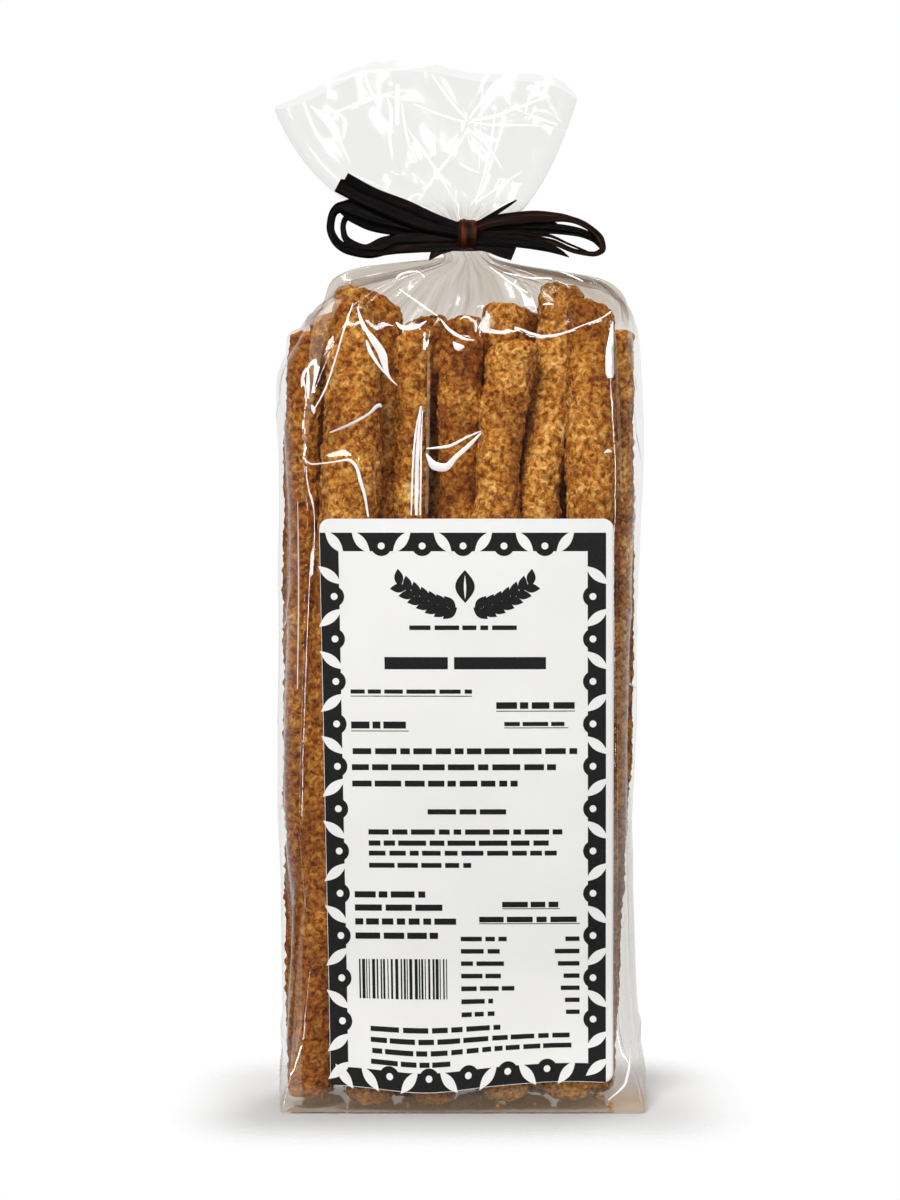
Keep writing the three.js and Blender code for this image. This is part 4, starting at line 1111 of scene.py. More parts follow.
def make_label(material):
    """The paper with its rounded corners, its rows closer together towards both ends."""
    columns = np.linspace(-LABEL_WIDTH / 2, LABEL_WIDTH / 2, LABEL_COLUMNS)
    half = (LABEL_TOP_Z - LABEL_BOTTOM_Z) / 2
    rows = (LABEL_TOP_Z + LABEL_BOTTOM_Z) / 2 + half * np.sin(np.linspace(-0.5, 0.5, LABEL_ROWS) * math.pi)
    to_end = np.minimum(np.minimum(rows - LABEL_BOTTOM_Z, LABEL_TOP_Z - rows), LABEL_CORNER)
    cut = LABEL_CORNER - np.sqrt(np.maximum(LABEL_CORNER ** 2 - (LABEL_CORNER - to_end) ** 2, 0))
    x = LABEL_X + columns[None, :] * (1 - 2 * cut / LABEL_WIDTH)[:, None]
    z = rows[:, None] + 0 * x
    label = grid_sheet("label_paper", label_place(x, z, 0))
    thick = label.modifiers.new("thickness", "SOLIDIFY")
    thick.thickness = LABEL_THICKNESS * MM
    thick.offset = -1
    apply_modifiers(label)
    return finish_piece(label, material, ["label"])


def almond(cx, cz, length, width, angle, points=14):
    """A grain shape: two arcs that meet in a point at each end."""
    share = np.linspace(0, 1, points)
    along = (share - 0.5) * length
    out = width / 2 * np.sin(share * math.pi)
    outline = [(a, o) for a, o in zip(along, out)] + [(a, -o) for a, o in zip(along[-2:0:-1], out[-2:0:-1])]
    c, s = math.cos(math.radians(angle)), math.sin(math.radians(angle))
    return [(cx + a * c - o * s, cz + a * s + o * c) for a, o in outline]


def disc(cx, cz, radius, points=26):
    turn = [2 * math.pi * i / points for i in range(points)]
    return [(cx + radius * math.cos(t), cz + radius * math.sin(t)) for t in turn]


def bar(x0, z0, x1, z1):
    return [(x0, z0), (x1, z0), (x1, z1), (x0, z1)]


# Planes that cut the print small enough to follow the paper: their normal and where they stand.
PRINT_CUTS = [((1, 0, 0), range(-42, 45, 4)), ((0, 0, 1), range(6, 172, 6))]


def print_mesh(name, shapes, lift, material):
    """Flat printed shapes laid on the paper, lift millimetres proud of it."""
    work = bmesh.new()
    for outline in shapes:
        work.faces.new([work.verts.new((x, 0, z)) for x, z in outline])
    for normal, places in PRINT_CUTS:
        for at in places:
            everything = work.verts[:] + work.edges[:] + work.faces[:]
            bmesh.ops.bisect_plane(work, geom=everything, plane_co=[at * n for n in normal], plane_no=normal)
    bmesh.ops.triangulate(work, faces=work.faces[:])
    flat = np.array([v.co for v in work.verts])
    placed = label_place(flat[:, 0], flat[:, 2], lift) * MM
    for vertex, co in zip(work.verts, placed):
        vertex.co = co
    bmesh.ops.recalc_face_normals(work, faces=work.faces[:])
    for face in work.faces:
        if face.normal.y > 0:
            face.normal_flip()
    mesh = bpy.data.meshes.new(name)
    work.to_mesh(mesh)
    work.free()
    piece = bpy.data.objects.new(name, mesh)
    bpy.context.scene.collection.objects.link(piece)
    return finish_piece(piece, material)


WORD_LENGTH = (2.2, 8.5)
WORD_GAP = (0.8, 1.2)
SHORTEST_WORD = 1.2


def word_bars(rng, x0, x1, z, height):
    """One line of print as short bars with gaps, like words seen from afar."""
    shapes = []
    x = x0
    while x < x1 - SHORTEST_WORD:
        length = min(rng.uniform(*WORD_LENGTH), x1 - x)
        shapes.append(bar(x, z - height / 2, x + length, z + height / 2))
        x += length + rng.uniform(*WORD_GAP)
    return shapes


# Lines of print: left end, right end, height of the line and height of its bars.
PRINT_LINES = [
    (-15.6, 15.4, 139.8, 1.3), (-32.9, 2.3, 121.5, 1.2), (9.3, 32.2, 117.5, 1.9), (-32.9, -16.2, 111.9, 2.0),
    (11.6, 30.2, 112.2, 1.2), (-32.6, 32.8, 104.4, 1.7), (-32.9, 26.6, 99.8, 1.7), (-32.9, 15.4, 95.1, 1.7),
    (-11, 13.3, 87, 1.5), (-28.4, 28.4, 81.2, 1.5), (-28.4, 24.4, 78, 1.5), (-28.4, 27.6, 75.1, 1.4),
    (-28.4, 1.6, 71.6, 1.4), (-32.8, -12, 63.2, 1.8), (-32.8, -6, 59.4, 1.8), (-32.8, -3, 55.4, 1.8),
    (-32.8, -8.4, 51.3, 1.8), (10.6, 27.6, 60.3, 1.6), (3.8, 33.6, 56, 1.6),
]
UNDERLINE_HALF = 0.12
# Rows of words at the left and a figure at the right, with where the words end and the figures start.
TABLE_ROWS = 7
TABLE_TOP_Z = 50.4
TABLE_PITCH = 3.55
TABLE_HEIGHT = 1.3
TABLE_LEFT = -1.7
TABLE_WORDS_END = (7, 15.5)
TABLE_FIGURE_START = (26, 30)
TABLE_RIGHT = 33.4
# A block of upright bars.
BARS_X = (-31.9, -5.2)
BARS_Z = (33.4, 44.6)
BAR_WIDTHS = [0.3, 0.45, 0.6, 0.9]
BAR_GAPS = [0.3, 0.45, 0.7]
FOOT_LINES = [(-28.8, 9.8), (-28.8, 30.4), (-28.4, 32.4), (-28.8, -4.6)]
FOOT_TOP_Z = 25.2
FOOT_PITCH = 3.0
FOOT_HEIGHT = 1.4
UNDERLINES = [(-32.9, 2.3, 120.2), (9.3, 32.2, 115.9), (-32.9, -16.2, 110.2), (11.6, 30.2, 111.1),
              (10.6, 27.6, 59.1), (3.8, 33.6, 54.8)]
BAND_LEFT = LABEL_X - LABEL_WIDTH / 2 + 0.15
BAND_RIGHT = 41.2
BAND_TOP = 167.0
BAND_BOTTOM = 8.65
BAND_WIDTH = 5.3
SCALLOP_PITCH = 12.4
SCALLOP_RADIUS = 3.0
DOT_RADIUS = 1.0
LEAF_LENGTH = 8.6
LEAF_WIDTH = 2.9
LEAF_TILT = 52
# Two heading bars, as left, bottom, right and top.
HEADING_BARS = [(-22.9, 127.9, -4.6, 131.4), (-2.8, 127.9, 23.8, 131.4)]
# An ear of wheat: its grains, where it starts, how far it reaches and rises, and how it bends.
EARS_X = LABEL_X - 0.6
EARS_Z = 148.8
EAR_GRAINS = 7
EAR_START = 3.2
EAR_DROP = 3.4
EAR_REACH = 14.6
EAR_RISE = 7.2
EAR_BEND = 1.7
GRAIN_LENGTH = 5.3
GRAIN_WIDTH = 2.6
GRAIN_SPREAD = 44
GRAIN_FORWARD = 1.2
GRAIN_ASIDE = 1.45
# The grain between them and the slit in it: height of its middle, length and width.
MIDDLE_GRAIN = (151.6, 9.4, 5.6)
MIDDLE_SLIT = (151.4, 7.0, 0.7)


def ear(way):
    """An ear of wheat that bends out from the label's middle, to the left or the right."""
    shapes = []
    for i in range(EAR_GRAINS):
        along = i / (EAR_GRAINS - 1)
        x = EARS_X + way * (EAR_START + EAR_REACH * along)
        z = EARS_Z - EAR_DROP + EAR_RISE * along ** EAR_BEND
        slope = EAR_RISE * EAR_BEND * max(along, 0.05) ** (EAR_BEND - 1)
        lean = math.degrees(math.atan2(slope, EAR_REACH))
        for side in (-1, 1):
            angle = lean + side * GRAIN_SPREAD
            turned = angle if way > 0 else 180 - angle
            shapes.append(almond(x + way * GRAIN_FORWARD, z + side * GRAIN_ASIDE, GRAIN_LENGTH, GRAIN_WIDTH,
                                 turned))
    return shapes


def label_shapes():
    """The black shapes, and the paper-white ones that lie on them."""
    rng = np.random.default_rng(7)
    black, white = [], []
    for x0, x1, z, height in PRINT_LINES:
        black += word_bars(rng, x0, x1, z, height)
    black += [bar(x0, z - UNDERLINE_HALF, x1, z + UNDERLINE_HALF) for x0, x1, z in UNDERLINES]
    black += [bar(*corners) for corners in HEADING_BARS]
    # Two ears of wheat on either side of one grain.
    black += ear(-1) + ear(1)
    black += [almond(EARS_X, *MIDDLE_GRAIN, 90)]
    white += [almond(EARS_X, *MIDDLE_SLIT, 90)]
    for i in range(TABLE_ROWS):
        z = TABLE_TOP_Z - i * TABLE_PITCH
        low, high = z - TABLE_HEIGHT / 2, z + TABLE_HEIGHT / 2
        black += word_bars(rng, TABLE_LEFT, rng.uniform(*TABLE_WORDS_END), z, TABLE_HEIGHT)
        black += [bar(rng.uniform(*TABLE_FIGURE_START), low, TABLE_RIGHT, high)]
    x = BARS_X[0]
    while x < BARS_X[1]:
        wide = rng.choice(BAR_WIDTHS)
        black.append(bar(x, BARS_Z[0], x + wide, BARS_Z[1]))
        x += wide + rng.choice(BAR_GAPS)
    for i, (x0, x1) in enumerate(FOOT_LINES):
        black += word_bars(rng, x0, x1, FOOT_TOP_Z - i * FOOT_PITCH, FOOT_HEIGHT)
    border_black, border_white = border_shapes()
    return black + border_black, white + border_white


def border_shapes():
    """A scalloped black band with leaves and dots left white."""
    inner_left, inner_right = BAND_LEFT + BAND_WIDTH, BAND_RIGHT - BAND_WIDTH
    inner_top, inner_bottom = BAND_TOP - BAND_WIDTH, BAND_BOTTOM + BAND_WIDTH
    black = [
        bar(BAND_LEFT, inner_bottom, inner_left, inner_top),
        bar(inner_right, inner_bottom, BAND_RIGHT, inner_top),
        bar(BAND_LEFT, inner_top, BAND_RIGHT, BAND_TOP),
        bar(BAND_LEFT, BAND_BOTTOM, BAND_RIGHT, inner_bottom),
    ]
    white = []
    runs = [
        # Start of the run, the way along it, the way into the label, and its length.
        ((BAND_LEFT, BAND_BOTTOM), (0, 1), (1, 0), BAND_TOP - BAND_BOTTOM),
        ((BAND_RIGHT, BAND_BOTTOM), (0, 1), (-1, 0), BAND_TOP - BAND_BOTTOM),
        ((BAND_LEFT, BAND_TOP), (1, 0), (0, -1), BAND_RIGHT - BAND_LEFT),
        ((BAND_LEFT, BAND_BOTTOM), (1, 0), (0, 1), BAND_RIGHT - BAND_LEFT),
    ]
    for (x0, z0), along, inward, length in runs:
        count = round(length / SCALLOP_PITCH)
        pitch = length / count
        for i in range(count):
            at = (i + 0.5) * pitch

            def spot(run, deep):
                return x0 + along[0] * run + inward[0] * deep, z0 + along[1] * run + inward[1] * deep

            if 0 < i < count - 1:
                black.append(disc(*spot(at, BAND_WIDTH - 1.6), SCALLOP_RADIUS))
                white.append(disc(*spot(at, BAND_WIDTH - 1.5), DOT_RADIUS))
            tilt = LEAF_TILT if i % 2 else -LEAF_TILT
            angle = math.degrees(math.atan2(along[1], along[0])) + tilt
            # The last leaf of a run goes to its start instead.
            leaf_at = (i + 1) * pitch if i < count - 1 else 0.35 * pitch
            white.append(almond(*spot(leaf_at, BAND_WIDTH / 2), LEAF_LENGTH, LEAF_WIDTH, angle))
    return black, white


# The ribbon.

# Strands of the bow: stations as x, how far forward of the bow's middle, height and width, then how
# far the face is rolled about the path at the start and the end in degrees, and how brown it is, as thin dye
# with painted sheen.
BOW_STRANDS = {
    "tail_left": ([(-0.6, 2.4, 254.2, 4.6), (-9.3, 3.4, 256.6, 5.8), (-19.1, 4.4, 260.5, 6.6),
                   (-27.3, 5.2, 263.9, 6.6), (-34.4, 6.0, 267.6, 6.2)], 0, 8, 0.1),
    "loop_left_outer": ([(-0.6, 1.6, 252.9, 4.6), (-9.3, 2.0, 253.8, 5.8), (-16.5, 2.8, 255.8, 7.2),
                         (-25.2, 3.6, 258.0, 8.2), (-31, 4.2, 259.9, 7.0), (-35.2, 4.2, 260.6, 3.2),
                         (-37.4, 4.0, 258.6, 2.2), (-38, 3.8, 254.9, 2.2), (-36.5, 3.6, 251.1, 2.5),
                         (-32.8, 3.4, 248.6, 3.0), (-26.7, 3.0, 247.4, 2.8), (-20.8, 2.6, 250.0, 6.2),
                         (-12.2, 2.0, 250.9, 6.6), (-0.6, 1.2, 251.8, 5.0)], 0, 14, 0.0),
    "loop_left_inner": ([(-0.6, 0.8, 252.6, 4.2), (-16, 1.6, 255.2, 4.6), (-25.2, 2.4, 256.6, 3.4),
                         (-30.7, 2.8, 258.2, 2.4), (-33.4, 2.8, 257.8, 1.8), (-34.4, 2.7, 255.4, 1.6),
                         (-34, 2.6, 252.6, 1.8), (-31.6, 2.6, 250.1, 2.4), (-27.6, 2.4, 248.6, 3.2),
                         (-21.6, 2.2, 249.9, 5.4), (-0.6, 0.6, 251.6, 4.6)], 10, -8, 0.15),
    "loop_left_low": ([(-33.4, 3.9, 250.0, 2.4), (-28.6, 4.0, 248.4, 3.2), (-23.6, 3.8, 248.3, 3.0),
                       (-18.2, 3.4, 250.4, 5.6), (-10, 2.8, 250.7, 5.4), (-0.4, 1.8, 250.9, 4.2)], 0, 6, 0.3),
    "loop_right_top": ([(2.8, 1.6, 254.7, 3.0), (8.4, 2.4, 256.7, 3.2), (14.5, 3.0, 257.6, 3.4),
                        (21.2, 3.4, 258.1, 3.4), (27.8, 3.6, 257.9, 2.6), (32.8, 3.8, 256.9, 1.9),
                        (37.1, 4.0, 254.6, 1.9), (40, 4.0, 251.4, 2.3), (40.6, 3.8, 248.8, 2.0),
                        (38, 3.6, 247.3, 1.5), (32.8, 3.4, 248.1, 1.4), (25.6, 3.0, 250.9, 1.6),
                        (13.9, 2.2, 252.6, 2.4), (2.8, 1.0, 252.7, 2.8)], 0, 10, 0.75),
    "loop_right_second": ([(2.8, 1.2, 253.7, 3.0), (15.4, 2.2, 254.8, 3.4), (25.5, 2.8, 254.7, 3.2),
                           (33, 3.2, 253.8, 2.6), (38, 3.5, 251.8, 2.0), (40.3, 3.6, 249.2, 1.2)],
                          8, -12, 0.15),
    "loop_right_inner": ([(2.8, 0.4, 254, 3.2), (13, 1.2, 256.1, 3.2), (22, 1.8, 256.5, 2.4),
                          (27.4, 2.2, 256.0, 1.0)], 16, 20, 0.35),
    "loop_right_thin": ([(16, 2.4, 253.4, 1.4), (24.4, 2.8, 252.8, 0.9), (31, 3.0, 250.2, 0.7),
                         (36.4, 3.2, 247.9, 0.6)], 0, 10, 0.0),
    "tail_right_pointed": ([(2.8, 2.2, 252, 3.4), (11, 3.2, 251.5, 3.6), (18.3, 4.2, 250.6, 3.2),
                            (24.1, 4.8, 249.4, 2.8), (28.2, 5.2, 247.8, 1.7), (30.8, 5.4, 246.3, 0.3)],
                           6, 14, 0.0),
    "tail_right_broad": ([(2.6, 1.8, 251, 3.4), (8.1, 2.8, 249.8, 4.4), (14.9, 4.0, 247.4, 4.4)], 0, 8, 0.1),
    "tail_right_thin": ([(2.9, 1.0, 255.2, 1.4), (9.6, 0.8, 259.3, 1.4), (13.3, 0.9, 261.6, 1.0),
                         (15.8, 1.0, 263.1, 0.3)], 10, 20, 0.0),
    "tail_left_short": ([(-0.6, 1.4, 250.8, 3.4), (-6.1, 2.4, 249.1, 3.6), (-8.1, 3.0, 247.4, 2.4),
                         (-9.5, 3.4, 245.6, 0.3)], 0, -8, 0.7),
}
STRAND_ACROSS = 22
STRAND_STEPS_PER_MM = 1.6
STRAND_THICKNESS = 0.16
# Lengthwise creases of a strand: how many, how high, and how wide as a share of half its width.
STRAND_CREASES = 4
CREASE_REACH = 0.9
CREASE_DRIFT = 0.5
CREASE_HEIGHT = (0.2, 0.5)
CREASE_SPREAD = 0.16
LOOP_CRINKLE = 0.8
NECK_CRINKLE = 0.5
KNOT_CRINKLE = 0.45
THIN_DYE_AND_PAINTED_SHEEN = "thin_dye_and_painted_sheen"
TAIL_NOTCH = 1.0
# Turns round the neck, as radius, height above its middle and width, and turns round the knot, as its two
# radii and width.
NECK_TURNS = [(7.6, -1.7, 3.6), (7.9, 1.5, 3.8), (8.3, -0.2, 3.4)]
NECK_TURN_RISE = 0.6
KNOT_TURNS = [((3.4, 3.9), 5.2), ((3.7, 4.2), 4.6)]
TURN_STEPS = 120


def strand_path(stations):
    """The middle line of a strand, the way it runs, its width, and the share of its length, in steps."""
    knots = np.array(stations, float)
    chord = np.concatenate([[0], np.cumsum(np.linalg.norm(np.diff(knots[:, :3], axis=0), axis=1))])
    at = np.linspace(0, chord[-1], max(int(chord[-1] * STRAND_STEPS_PER_MM), 12))
    swept = np.stack([through(list(zip(chord, knots[:, k])))(at) for k in range(4)], axis=-1)
    path = swept[:, :3]
    tangent = np.gradient(path, axis=0)
    tangent /= np.linalg.norm(tangent, axis=1)[:, None]
    return path, tangent, swept[:, 3], at / chord[-1]


def sweep_strip(path, tangent, share, facing, width, roll, crinkle, rng):
    """Sweeps a creased strip: facing is the way its flat face looks before it is rolled."""
    side = np.cross(tangent, facing)
    side /= np.linalg.norm(side, axis=1)[:, None]
    face = np.cross(side, tangent)
    angle = np.radians(roll)[:, None]
    side, face = side * np.cos(angle) + face * np.sin(angle), face * np.cos(angle) - side * np.sin(angle)
    u = np.linspace(-1, 1, STRAND_ACROSS)
    lift = np.zeros((len(path), STRAND_ACROSS))
    for _ in range(STRAND_CREASES):
        middle = rng.uniform(-CREASE_REACH, CREASE_REACH)
        drift = rng.uniform(-CREASE_DRIFT, CREASE_DRIFT)
        line = middle + drift * (share[:, None] - 0.5)
        height = rng.uniform(*CREASE_HEIGHT) * rng.choice([-1, 1])
        lift += height * np.exp(-np.abs(u[None, :] - line) / CREASE_SPREAD)
    narrow = 1 + 0.06 * np.sin(9 * share + rng.uniform(0, 6))
    across = u[None, :] * (width / 2 * narrow)[:, None]
    lift = lift * crinkle * np.minimum(width / 3, 1)[:, None]
    return path[:, None, :] + side[:, None, :] * across[..., None] + face[:, None, :] * lift[..., None]


def make_strand(name, stations, roll_start, roll_end, thin_dye_and_painted_sheen, rng):
    path, tangent, width, share = strand_path([(x, BOW_MIDDLE[1] - f, z, w) for x, f, z, w in stations])
    facing = np.array([0.0, -1.0, 0.0]) + 0 * path
    roll = mix(roll_start, roll_end, smooth(share, 0, 1))
    points = sweep_strip(path, tangent, share, facing, width, roll, LOOP_CRINKLE, rng)
    if name == "tail_left":
        # Cut off with a step, so that its lower part is a little longer.
        step = np.where(np.linspace(-1, 1, STRAND_ACROSS) < 0.3, TAIL_NOTCH, 0)
        near_end = smooth(share, 0.92, 1)
        points += tangent[-1] * (near_end[:, None] * step)[..., None]
    return strip_object("ribbon_" + name, points, thin_dye_and_painted_sheen)


def strip_object(name, points, thin_dye_and_painted_sheen):
    strip = grid_sheet(name, points)
    thick = strip.modifiers.new("thickness", "SOLIDIFY")
    thick.thickness = STRAND_THICKNESS * MM
    thick.offset = 0
    apply_modifiers(strip)
    dye = strip.data.attributes.new(THIN_DYE_AND_PAINTED_SHEEN, "FLOAT", "POINT")
    dye.data.foreach_set("value", [thin_dye_and_painted_sheen] * len(strip.data.vertices))
    return strip


def ring_points(centre, radii, axis, width, rng, rise, crinkle):
    """A strip wound once round an axis, as a turn of the knot or of the band round the neck."""
    share = np.linspace(0, 1, TURN_STEPS)
    turn = share * 2 * math.pi
    first, second = radii[0] * np.cos(turn), radii[1] * np.sin(turn)
    if axis == "x":
        path = np.stack([centre[0] + rise * share, centre[1] + first, centre[2] + second], axis=-1)
    else:
        path = np.stack([centre[0] + first, centre[1] + second, centre[2] + rise * share], axis=-1)
    outward = path - np.array(centre)
    outward[:, "xyz".index(axis)] = 0
    tangent = np.gradient(path, axis=0)
    tangent /= np.linalg.norm(tangent, axis=1)[:, None]
    return sweep_strip(path, tangent, share, outward, width + 0 * share, 0 * share, crinkle, rng)


def make_ribbon(material):
    rng = np.random.default_rng(3)
    strips = [make_strand(name, *spec, rng) for name, spec in BOW_STRANDS.items()]
    for i, (radius, height, width) in enumerate(NECK_TURNS):
        rise = NECK_TURN_RISE * (-1) ** i
        points = ring_points((NECK_X, 0.0, NECK_MIDDLE_Z + height), (radius, radius), "z", width, rng,
                             rise, NECK_CRINKLE)
        strips.append(strip_object(f"ribbon_band_{i}", points, 0.1))
    # The knot's turns take the full brown painted sheen.
    for i, (radii, width) in enumerate(KNOT_TURNS):
        points = ring_points((BOW_MIDDLE[0], BOW_MIDDLE[1] - 0.2, BOW_MIDDLE[2]), radii, "x", width, rng,
                             0.0, KNOT_CRINKLE)
        strips.append(strip_object(f"ribbon_knot_{i}", points, 1.0))
    return finish_piece(joined("ribbon_bow", strips), material, ["ribbon"])


# Crumbs on the bag's floor.

CRUMB_SIZE = (0.3, 0.9)
CRUMBS_X = (-44, 44)
CRUMBS_Y = (-22, 21)
CRUMB_ROUGHNESS = (0.7, 1.25)
CRUMB_SQUASH = (0.6, 1.2)


def make_crumbs(count, material):
    rng = np.random.default_rng(17)
    crumbs = []
    for _ in range(count):
        size = rng.uniform(*CRUMB_SIZE)
        x, y = rng.uniform(*CRUMBS_X), rng.uniform(*CRUMBS_Y)
        # High enough to clear the base film at its largest.
        place = (x * MM, y * MM, (size * 1.2 + 0.6) * MM)
        deselect()
        bpy.ops.mesh.primitive_ico_sphere_add(subdivisions=2, radius=size * MM, location=place)
        crumb = bpy.context.object
        co = np.array([v.co for v in crumb.data.vertices])
        co *= rng.uniform(*CRUMB_ROUGHNESS, (len(co), 1)) * rng.uniform(*CRUMB_SQUASH, (1, 3))
        crumb.data.vertices.foreach_set("co", co.ravel())
        crumbs.append(crumb)
    heap = joined("crumbs", crumbs)
    bpy.ops.object.transform_apply(location=True, rotation=True, scale=True)
    return finish_piece(heap, material)


# Settings, operators and panel.

class GrissiniSettings(PropertyGroup):
    """What a user would change about the pack."""

    film_rows: IntProperty(name="Film rows", description="Rows of film vertices up the body", default=286,
                           min=40)
    frill_rows: IntProperty(name="Frill rows", description="Rows of film vertices up the frill", default=130,
                            min=20)
    crumbs: IntProperty(name="Crumbs", description="Crumbs on the bag's floor", default=34, min=1)


class StageSettings(PropertyGroup):
    """Where the camera stands and how the stage is lit."""

    camera_height: FloatProperty(name="Camera height", description="Height of the lens", default=0.176,
                                 unit="LENGTH")
    camera_distance: FloatProperty(name="Camera distance", description="Lens to the bag's middle",
                                   default=1.0, unit="LENGTH")
    camera_x: FloatProperty(name="Camera side", description="Lens to the right of the middle",
                            default=-0.0035, unit="LENGTH")
    aim_height: FloatProperty(name="Aim height", description="Height that the lens looks at",
                              default=0.147, unit="LENGTH")
    frame_height: FloatProperty(name="Frame height", description="Height of the picture at the bag",
                                default=0.348, unit="LENGTH")
    floor_shadow_grey: StringProperty(name="Floor colour", description="sRGB hex", default="#c6c5c4")


class GRISSINI_OT_sticks(Operator):
    """Add the grissini, each a piece of its own"""

    bl_idname = "grissini.sticks"
    bl_label = "Grissini"

    def execute(self, context):
        material = crust_material()
        textures = crust_textures()
        for name, (stations, slant) in STICKS.items():
            make_stick(name, stations, slant, material, textures)
        make_crumbs(context.scene.grissini.crumbs, material)
        return {"FINISHED"}


class GRISSINI_OT_film(Operator):
    """Add the clear film: the bag's body and the frill above the tie"""

    bl_idname = "grissini.film"
    bl_label = "Film"

    def execute(self, context):
        settings = context.scene.grissini
        clear = film_material("clear_drawn_film", roughness=0.05, ripple_depth=0.1, mirror_share=0.05,
                              haze_share=0.004, edge_power=7.0)
        body = grid_sheet("film_body", film_body(settings.film_rows))
        join_seams()
        finish_piece(body, clear, ["bag"])
        creased = film_material("creased_drawn_film", roughness=0.17, ripple_depth=0.15, mirror_share=0.048,
                                haze_share=0.008, edge_power=4.6)
        frill = grid_sheet("film_frill", film_frill(settings.frill_rows))
        join_seams()
        finish_piece(frill, creased, ["bag"])
        # White strips that paint the highlights of the body's folds, and fainter ones for the frill's.
        highlight_white = film_strip_material("fold_painted_highlight", "#ffffff", clearness=0.15, roughness=0.2)
        lay_strips("film_creases", body, FILM_PAINTED_HIGHLIGHTS, highlight_white, ridge=0.12)
        faint_highlight = film_strip_material("faint_fold_painted_highlight", "#a09f9d", clearness=0.86, roughness=0.2)
        lay_strips("frill_creases", frill, FRILL_PAINTED_HIGHLIGHTS, faint_highlight, ridge=0.1)
        doubled = film_strip_material("doubled_film", "#6b5d4c", clearness=0.88, roughness=0.12)
        lay_strips("film_laps", body, FILM_LAPS, doubled, ridge=0.0)
        return {"FINISHED"}


class GRISSINI_OT_label(Operator):
    """Add the paper label and the plain shapes printed on it"""

    bl_idname = "grissini.label"
    bl_label = "Label"

    def execute(self, context):
        paper, ink = paper_material(), ink_material()
        make_label(paper)
        black, white = label_shapes()
        print_mesh("label_print", black, 0.03, ink)
        print_mesh("label_print_grains", white, 0.06, paper)
        return {"FINISHED"}


class GRISSINI_OT_ribbon(Operator):
    """Add the ribbon: band, knot, loops and tails"""

    bl_idname = "grissini.ribbon"
    bl_label = "Ribbon"

    def execute(self, context):
        make_ribbon(ribbon_material())
        return {"FINISHED"}


class GRISSINI_OT_stage(Operator):
    """Add the floor, the lights and the camera"""

    bl_idname = "grissini.stage"
    bl_label = "Stage"

    def execute(self, context):
        stage = context.scene.grissini_stage
        add_floor(stage)
        add_lights()
        add_camera(stage)
        set_world()
        context.scene.view_settings.view_transform = "Standard"
        return {"FINISHED"}


# How far from the bag's foot the floor starts and ends fading, to the sides, in metres: the grey floor shows
# only within this, so it paints a soft shadow round the foot. Towards the camera the same takes longer.
FLOOR_CLEAR = (0.002, 0.034)
FLOOR_FORWARD_SHARE = 0.6
FOOT_HALF = (0.053, 0.025)


def add_floor(stage):
    """A grey floor that fades into the white behind it, so that no horizon crosses the picture. Seen only
    close round the foot, its grey paints a soft shadow there on top of the real shadows cast on it.
    """
    deselect()
    bpy.ops.mesh.primitive_circle_add(vertices=96, radius=1.0, fill_type="NGON", location=(0, 0, 0))
    floor = bpy.context.object
    floor.name = "floor"
    material, tree = new_material("grey_floor_painted_shadow")
    place = add_node(tree, "TexCoord").outputs["Object"]
    size = add_node(tree, "VectorMath", {"operation": "ABSOLUTE"}, _0=place)
    past = add_node(tree, "VectorMath", {"operation": "SUBTRACT"}, _0=size,
                    _1=(FOOT_HALF[0], FOOT_HALF[1], 0))
    beyond = add_node(tree, "VectorMath", {"operation": "MAXIMUM"}, _0=past, _1=(0, 0, 0))
    weighed = add_node(tree, "VectorMath", {"operation": "MULTIPLY"}, _0=beyond,
                       _1=(1, FLOOR_FORWARD_SHARE, 0))
    away = add_node(tree, "VectorMath", {"operation": "LENGTH"}, _0=weighed)
    painted_shadow_fade = add_node(tree, "MapRange", EASED, Value=away.outputs["Value"],
                    From_Min=FLOOR_CLEAR[0], From_Max=FLOOR_CLEAR[1])
    # The grey, shown only round the foot, is a painted shadow on top of the real one.
    shader = add_node(tree, "BsdfDiffuse", Color=linear(stage.floor_shadow_grey))
    clear = add_node(tree, "BsdfTransparent", Color=WHITE)
    surface = add_node(tree, "MixShader", Fac=painted_shadow_fade, _1=shader, _2=clear)
    add_node(tree, "OutputMaterial", Surface=surface)
    floor.data.materials.append(material)


# Lights: place, what each looks at, width and height in metres, power in watts, and whether it is
# one of the strips that only gloss mirrors, or one of the broad ones that light the bread.
LIGHTS = {
    "key_front": ((-0.25, -0.95, 1.1), (0, 0, 0.12), 0.42, 0.42, 17.6, False),
    "fill_left": ((-1.0, -0.6, 0.4), (0, 0, 0.14), 0.4, 0.6, 1.5, False),
    "fill_right": ((1.0, -0.6, 0.4), (0, 0, 0.14), 0.4, 0.6, 1.7, False),
    "fill_low": ((0.1, -1.1, 0.12), (0, 0, 0.05), 0.3, 0.2, 1.3, False),
    "fill_back": ((0.45, 1.1, 0.5), (0, 0, 0.15), 0.5, 0.5, 5.0, False),
    "top_back": ((0.05, 0.3, 0.95), (0, 0, 0.1), 0.5, 0.5, 5.0, False),
    "strip_left": ((-0.9, -0.8, 0.35), (0, 0, 0.16), 0.16, 0.8, 7.0, True),
    "strip_right": ((0.95, -0.65, 0.4), (0, 0, 0.16), 0.16, 0.8, 7.0, True),
    "strip_top": ((0.0, -0.9, 0.95), (0, 0, 0.16), 0.9, 0.16, 8.0, True),
}


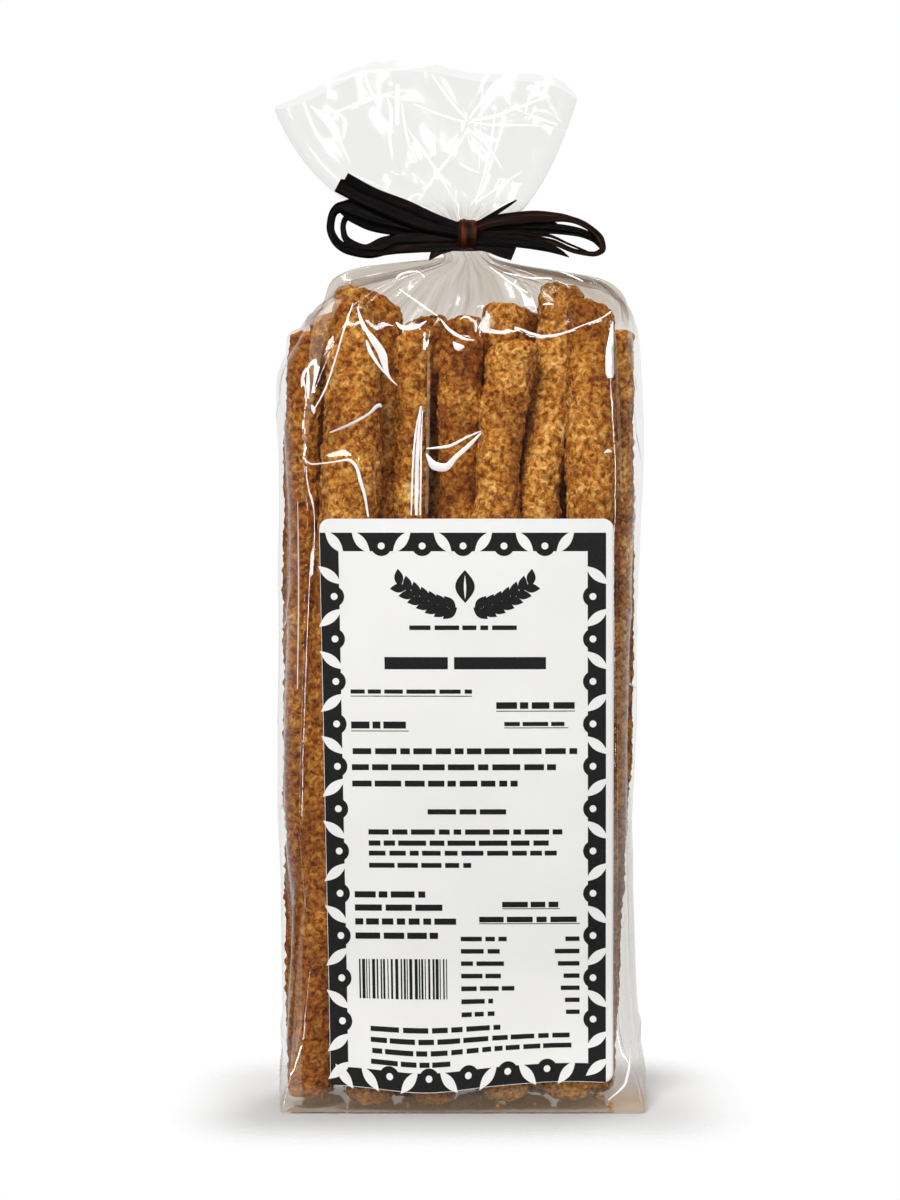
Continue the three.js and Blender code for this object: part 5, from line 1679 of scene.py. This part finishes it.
def add_lights():
    for name, (place, aim, width, height, power, mirrored) in LIGHTS.items():
        bpy.ops.object.light_add(type="AREA", location=place)
        lamp = bpy.context.object
        lamp.name = name
        lamp.rotation_euler = (Vector(aim) - Vector(place)).to_track_quat("-Z", "Y").to_euler()
        lamp.data.shape = "RECTANGLE"
        lamp.data.size = width
        lamp.data.size_y = height
        lamp.data.energy = power
        lamp.visible_glossy = mirrored
        lamp.visible_diffuse = not mirrored


SENSOR_WIDTH = 36
# How far before the bag's middle its picture's height is measured, in metres.
FRAME_FORWARD = 0.012


def add_camera(stage):
    place = Vector((stage.camera_x, -stage.camera_distance, stage.camera_height))
    aim = Vector((stage.camera_x, 0, stage.aim_height))
    bpy.ops.object.camera_add(location=place)
    camera = bpy.context.object
    camera.rotation_euler = (aim - place).to_track_quat("-Z", "Y").to_euler()
    camera.data.sensor_width = SENSOR_WIDTH
    camera.data.lens = SENSOR_WIDTH * (stage.camera_distance - FRAME_FORWARD) / stage.frame_height
    bpy.context.scene.camera = camera


def set_world():
    """White to the eye. For the film, a white wall behind the bag and a dim room in front of it."""
    world = bpy.data.worlds.new("studio")
    world.use_nodes = True
    tree = world.node_tree
    tree.nodes.clear()
    seen = add_node(tree, "Background", Color=WHITE, Strength=1.0)
    lit = add_node(tree, "Background", Color=linear("#f4f6fa"), Strength=0.22)
    way = add_node(tree, "TexCoord").outputs["Generated"]
    parts = add_node(tree, "SeparateXYZ", Vector=way)
    wall = add_node(tree, "MapRange", EASED, Value=parts.outputs["Y"],
                    From_Min=0.3, From_Max=0.95, To_Min=0.1, To_Max=0.8)
    mirrored = add_node(tree, "Background", Color=WHITE, Strength=wall)
    path = add_node(tree, "LightPath")
    inner = add_node(tree, "MixShader", Fac=path.outputs["Is Glossy Ray"], _1=lit, _2=mirrored)
    both = add_node(tree, "MixShader", Fac=path.outputs["Is Camera Ray"], _1=inner, _2=seen)
    add_node(tree, "OutputWorld", Surface=both)
    bpy.context.scene.world = world


class GRISSINI_PT_panel(Panel):
    """Lists the operators"""

    bl_label = "Grissini"
    bl_idname = "GRISSINI_PT_panel"
    bl_space_type = "VIEW_3D"
    bl_region_type = "UI"
    bl_category = "Grissini"

    def draw(self, context):
        layout = self.layout
        for settings in (context.scene.grissini, context.scene.grissini_stage):
            for name in settings.__annotations__:
                layout.prop(settings, name)
        for operator in OPERATORS:
            layout.operator(operator.bl_idname)


OPERATORS = (GRISSINI_OT_sticks, GRISSINI_OT_film, GRISSINI_OT_label, GRISSINI_OT_ribbon, GRISSINI_OT_stage)
CLASSES = (GrissiniSettings, StageSettings, *OPERATORS, GRISSINI_PT_panel)


def register():
    for cls in CLASSES:
        bpy.utils.register_class(cls)
    bpy.types.Scene.grissini = PointerProperty(type=GrissiniSettings)
    bpy.types.Scene.grissini_stage = PointerProperty(type=StageSettings)


def unregister():
    del bpy.types.Scene.grissini_stage
    del bpy.types.Scene.grissini
    for cls in reversed(CLASSES):
        bpy.utils.unregister_class(cls)


def main():
    register()
    bpy.ops.grissini.sticks()
    bpy.ops.grissini.film()
    bpy.ops.grissini.label()
    bpy.ops.grissini.ribbon()
    bpy.ops.grissini.stage()


if __name__ == "__main__":
    main()
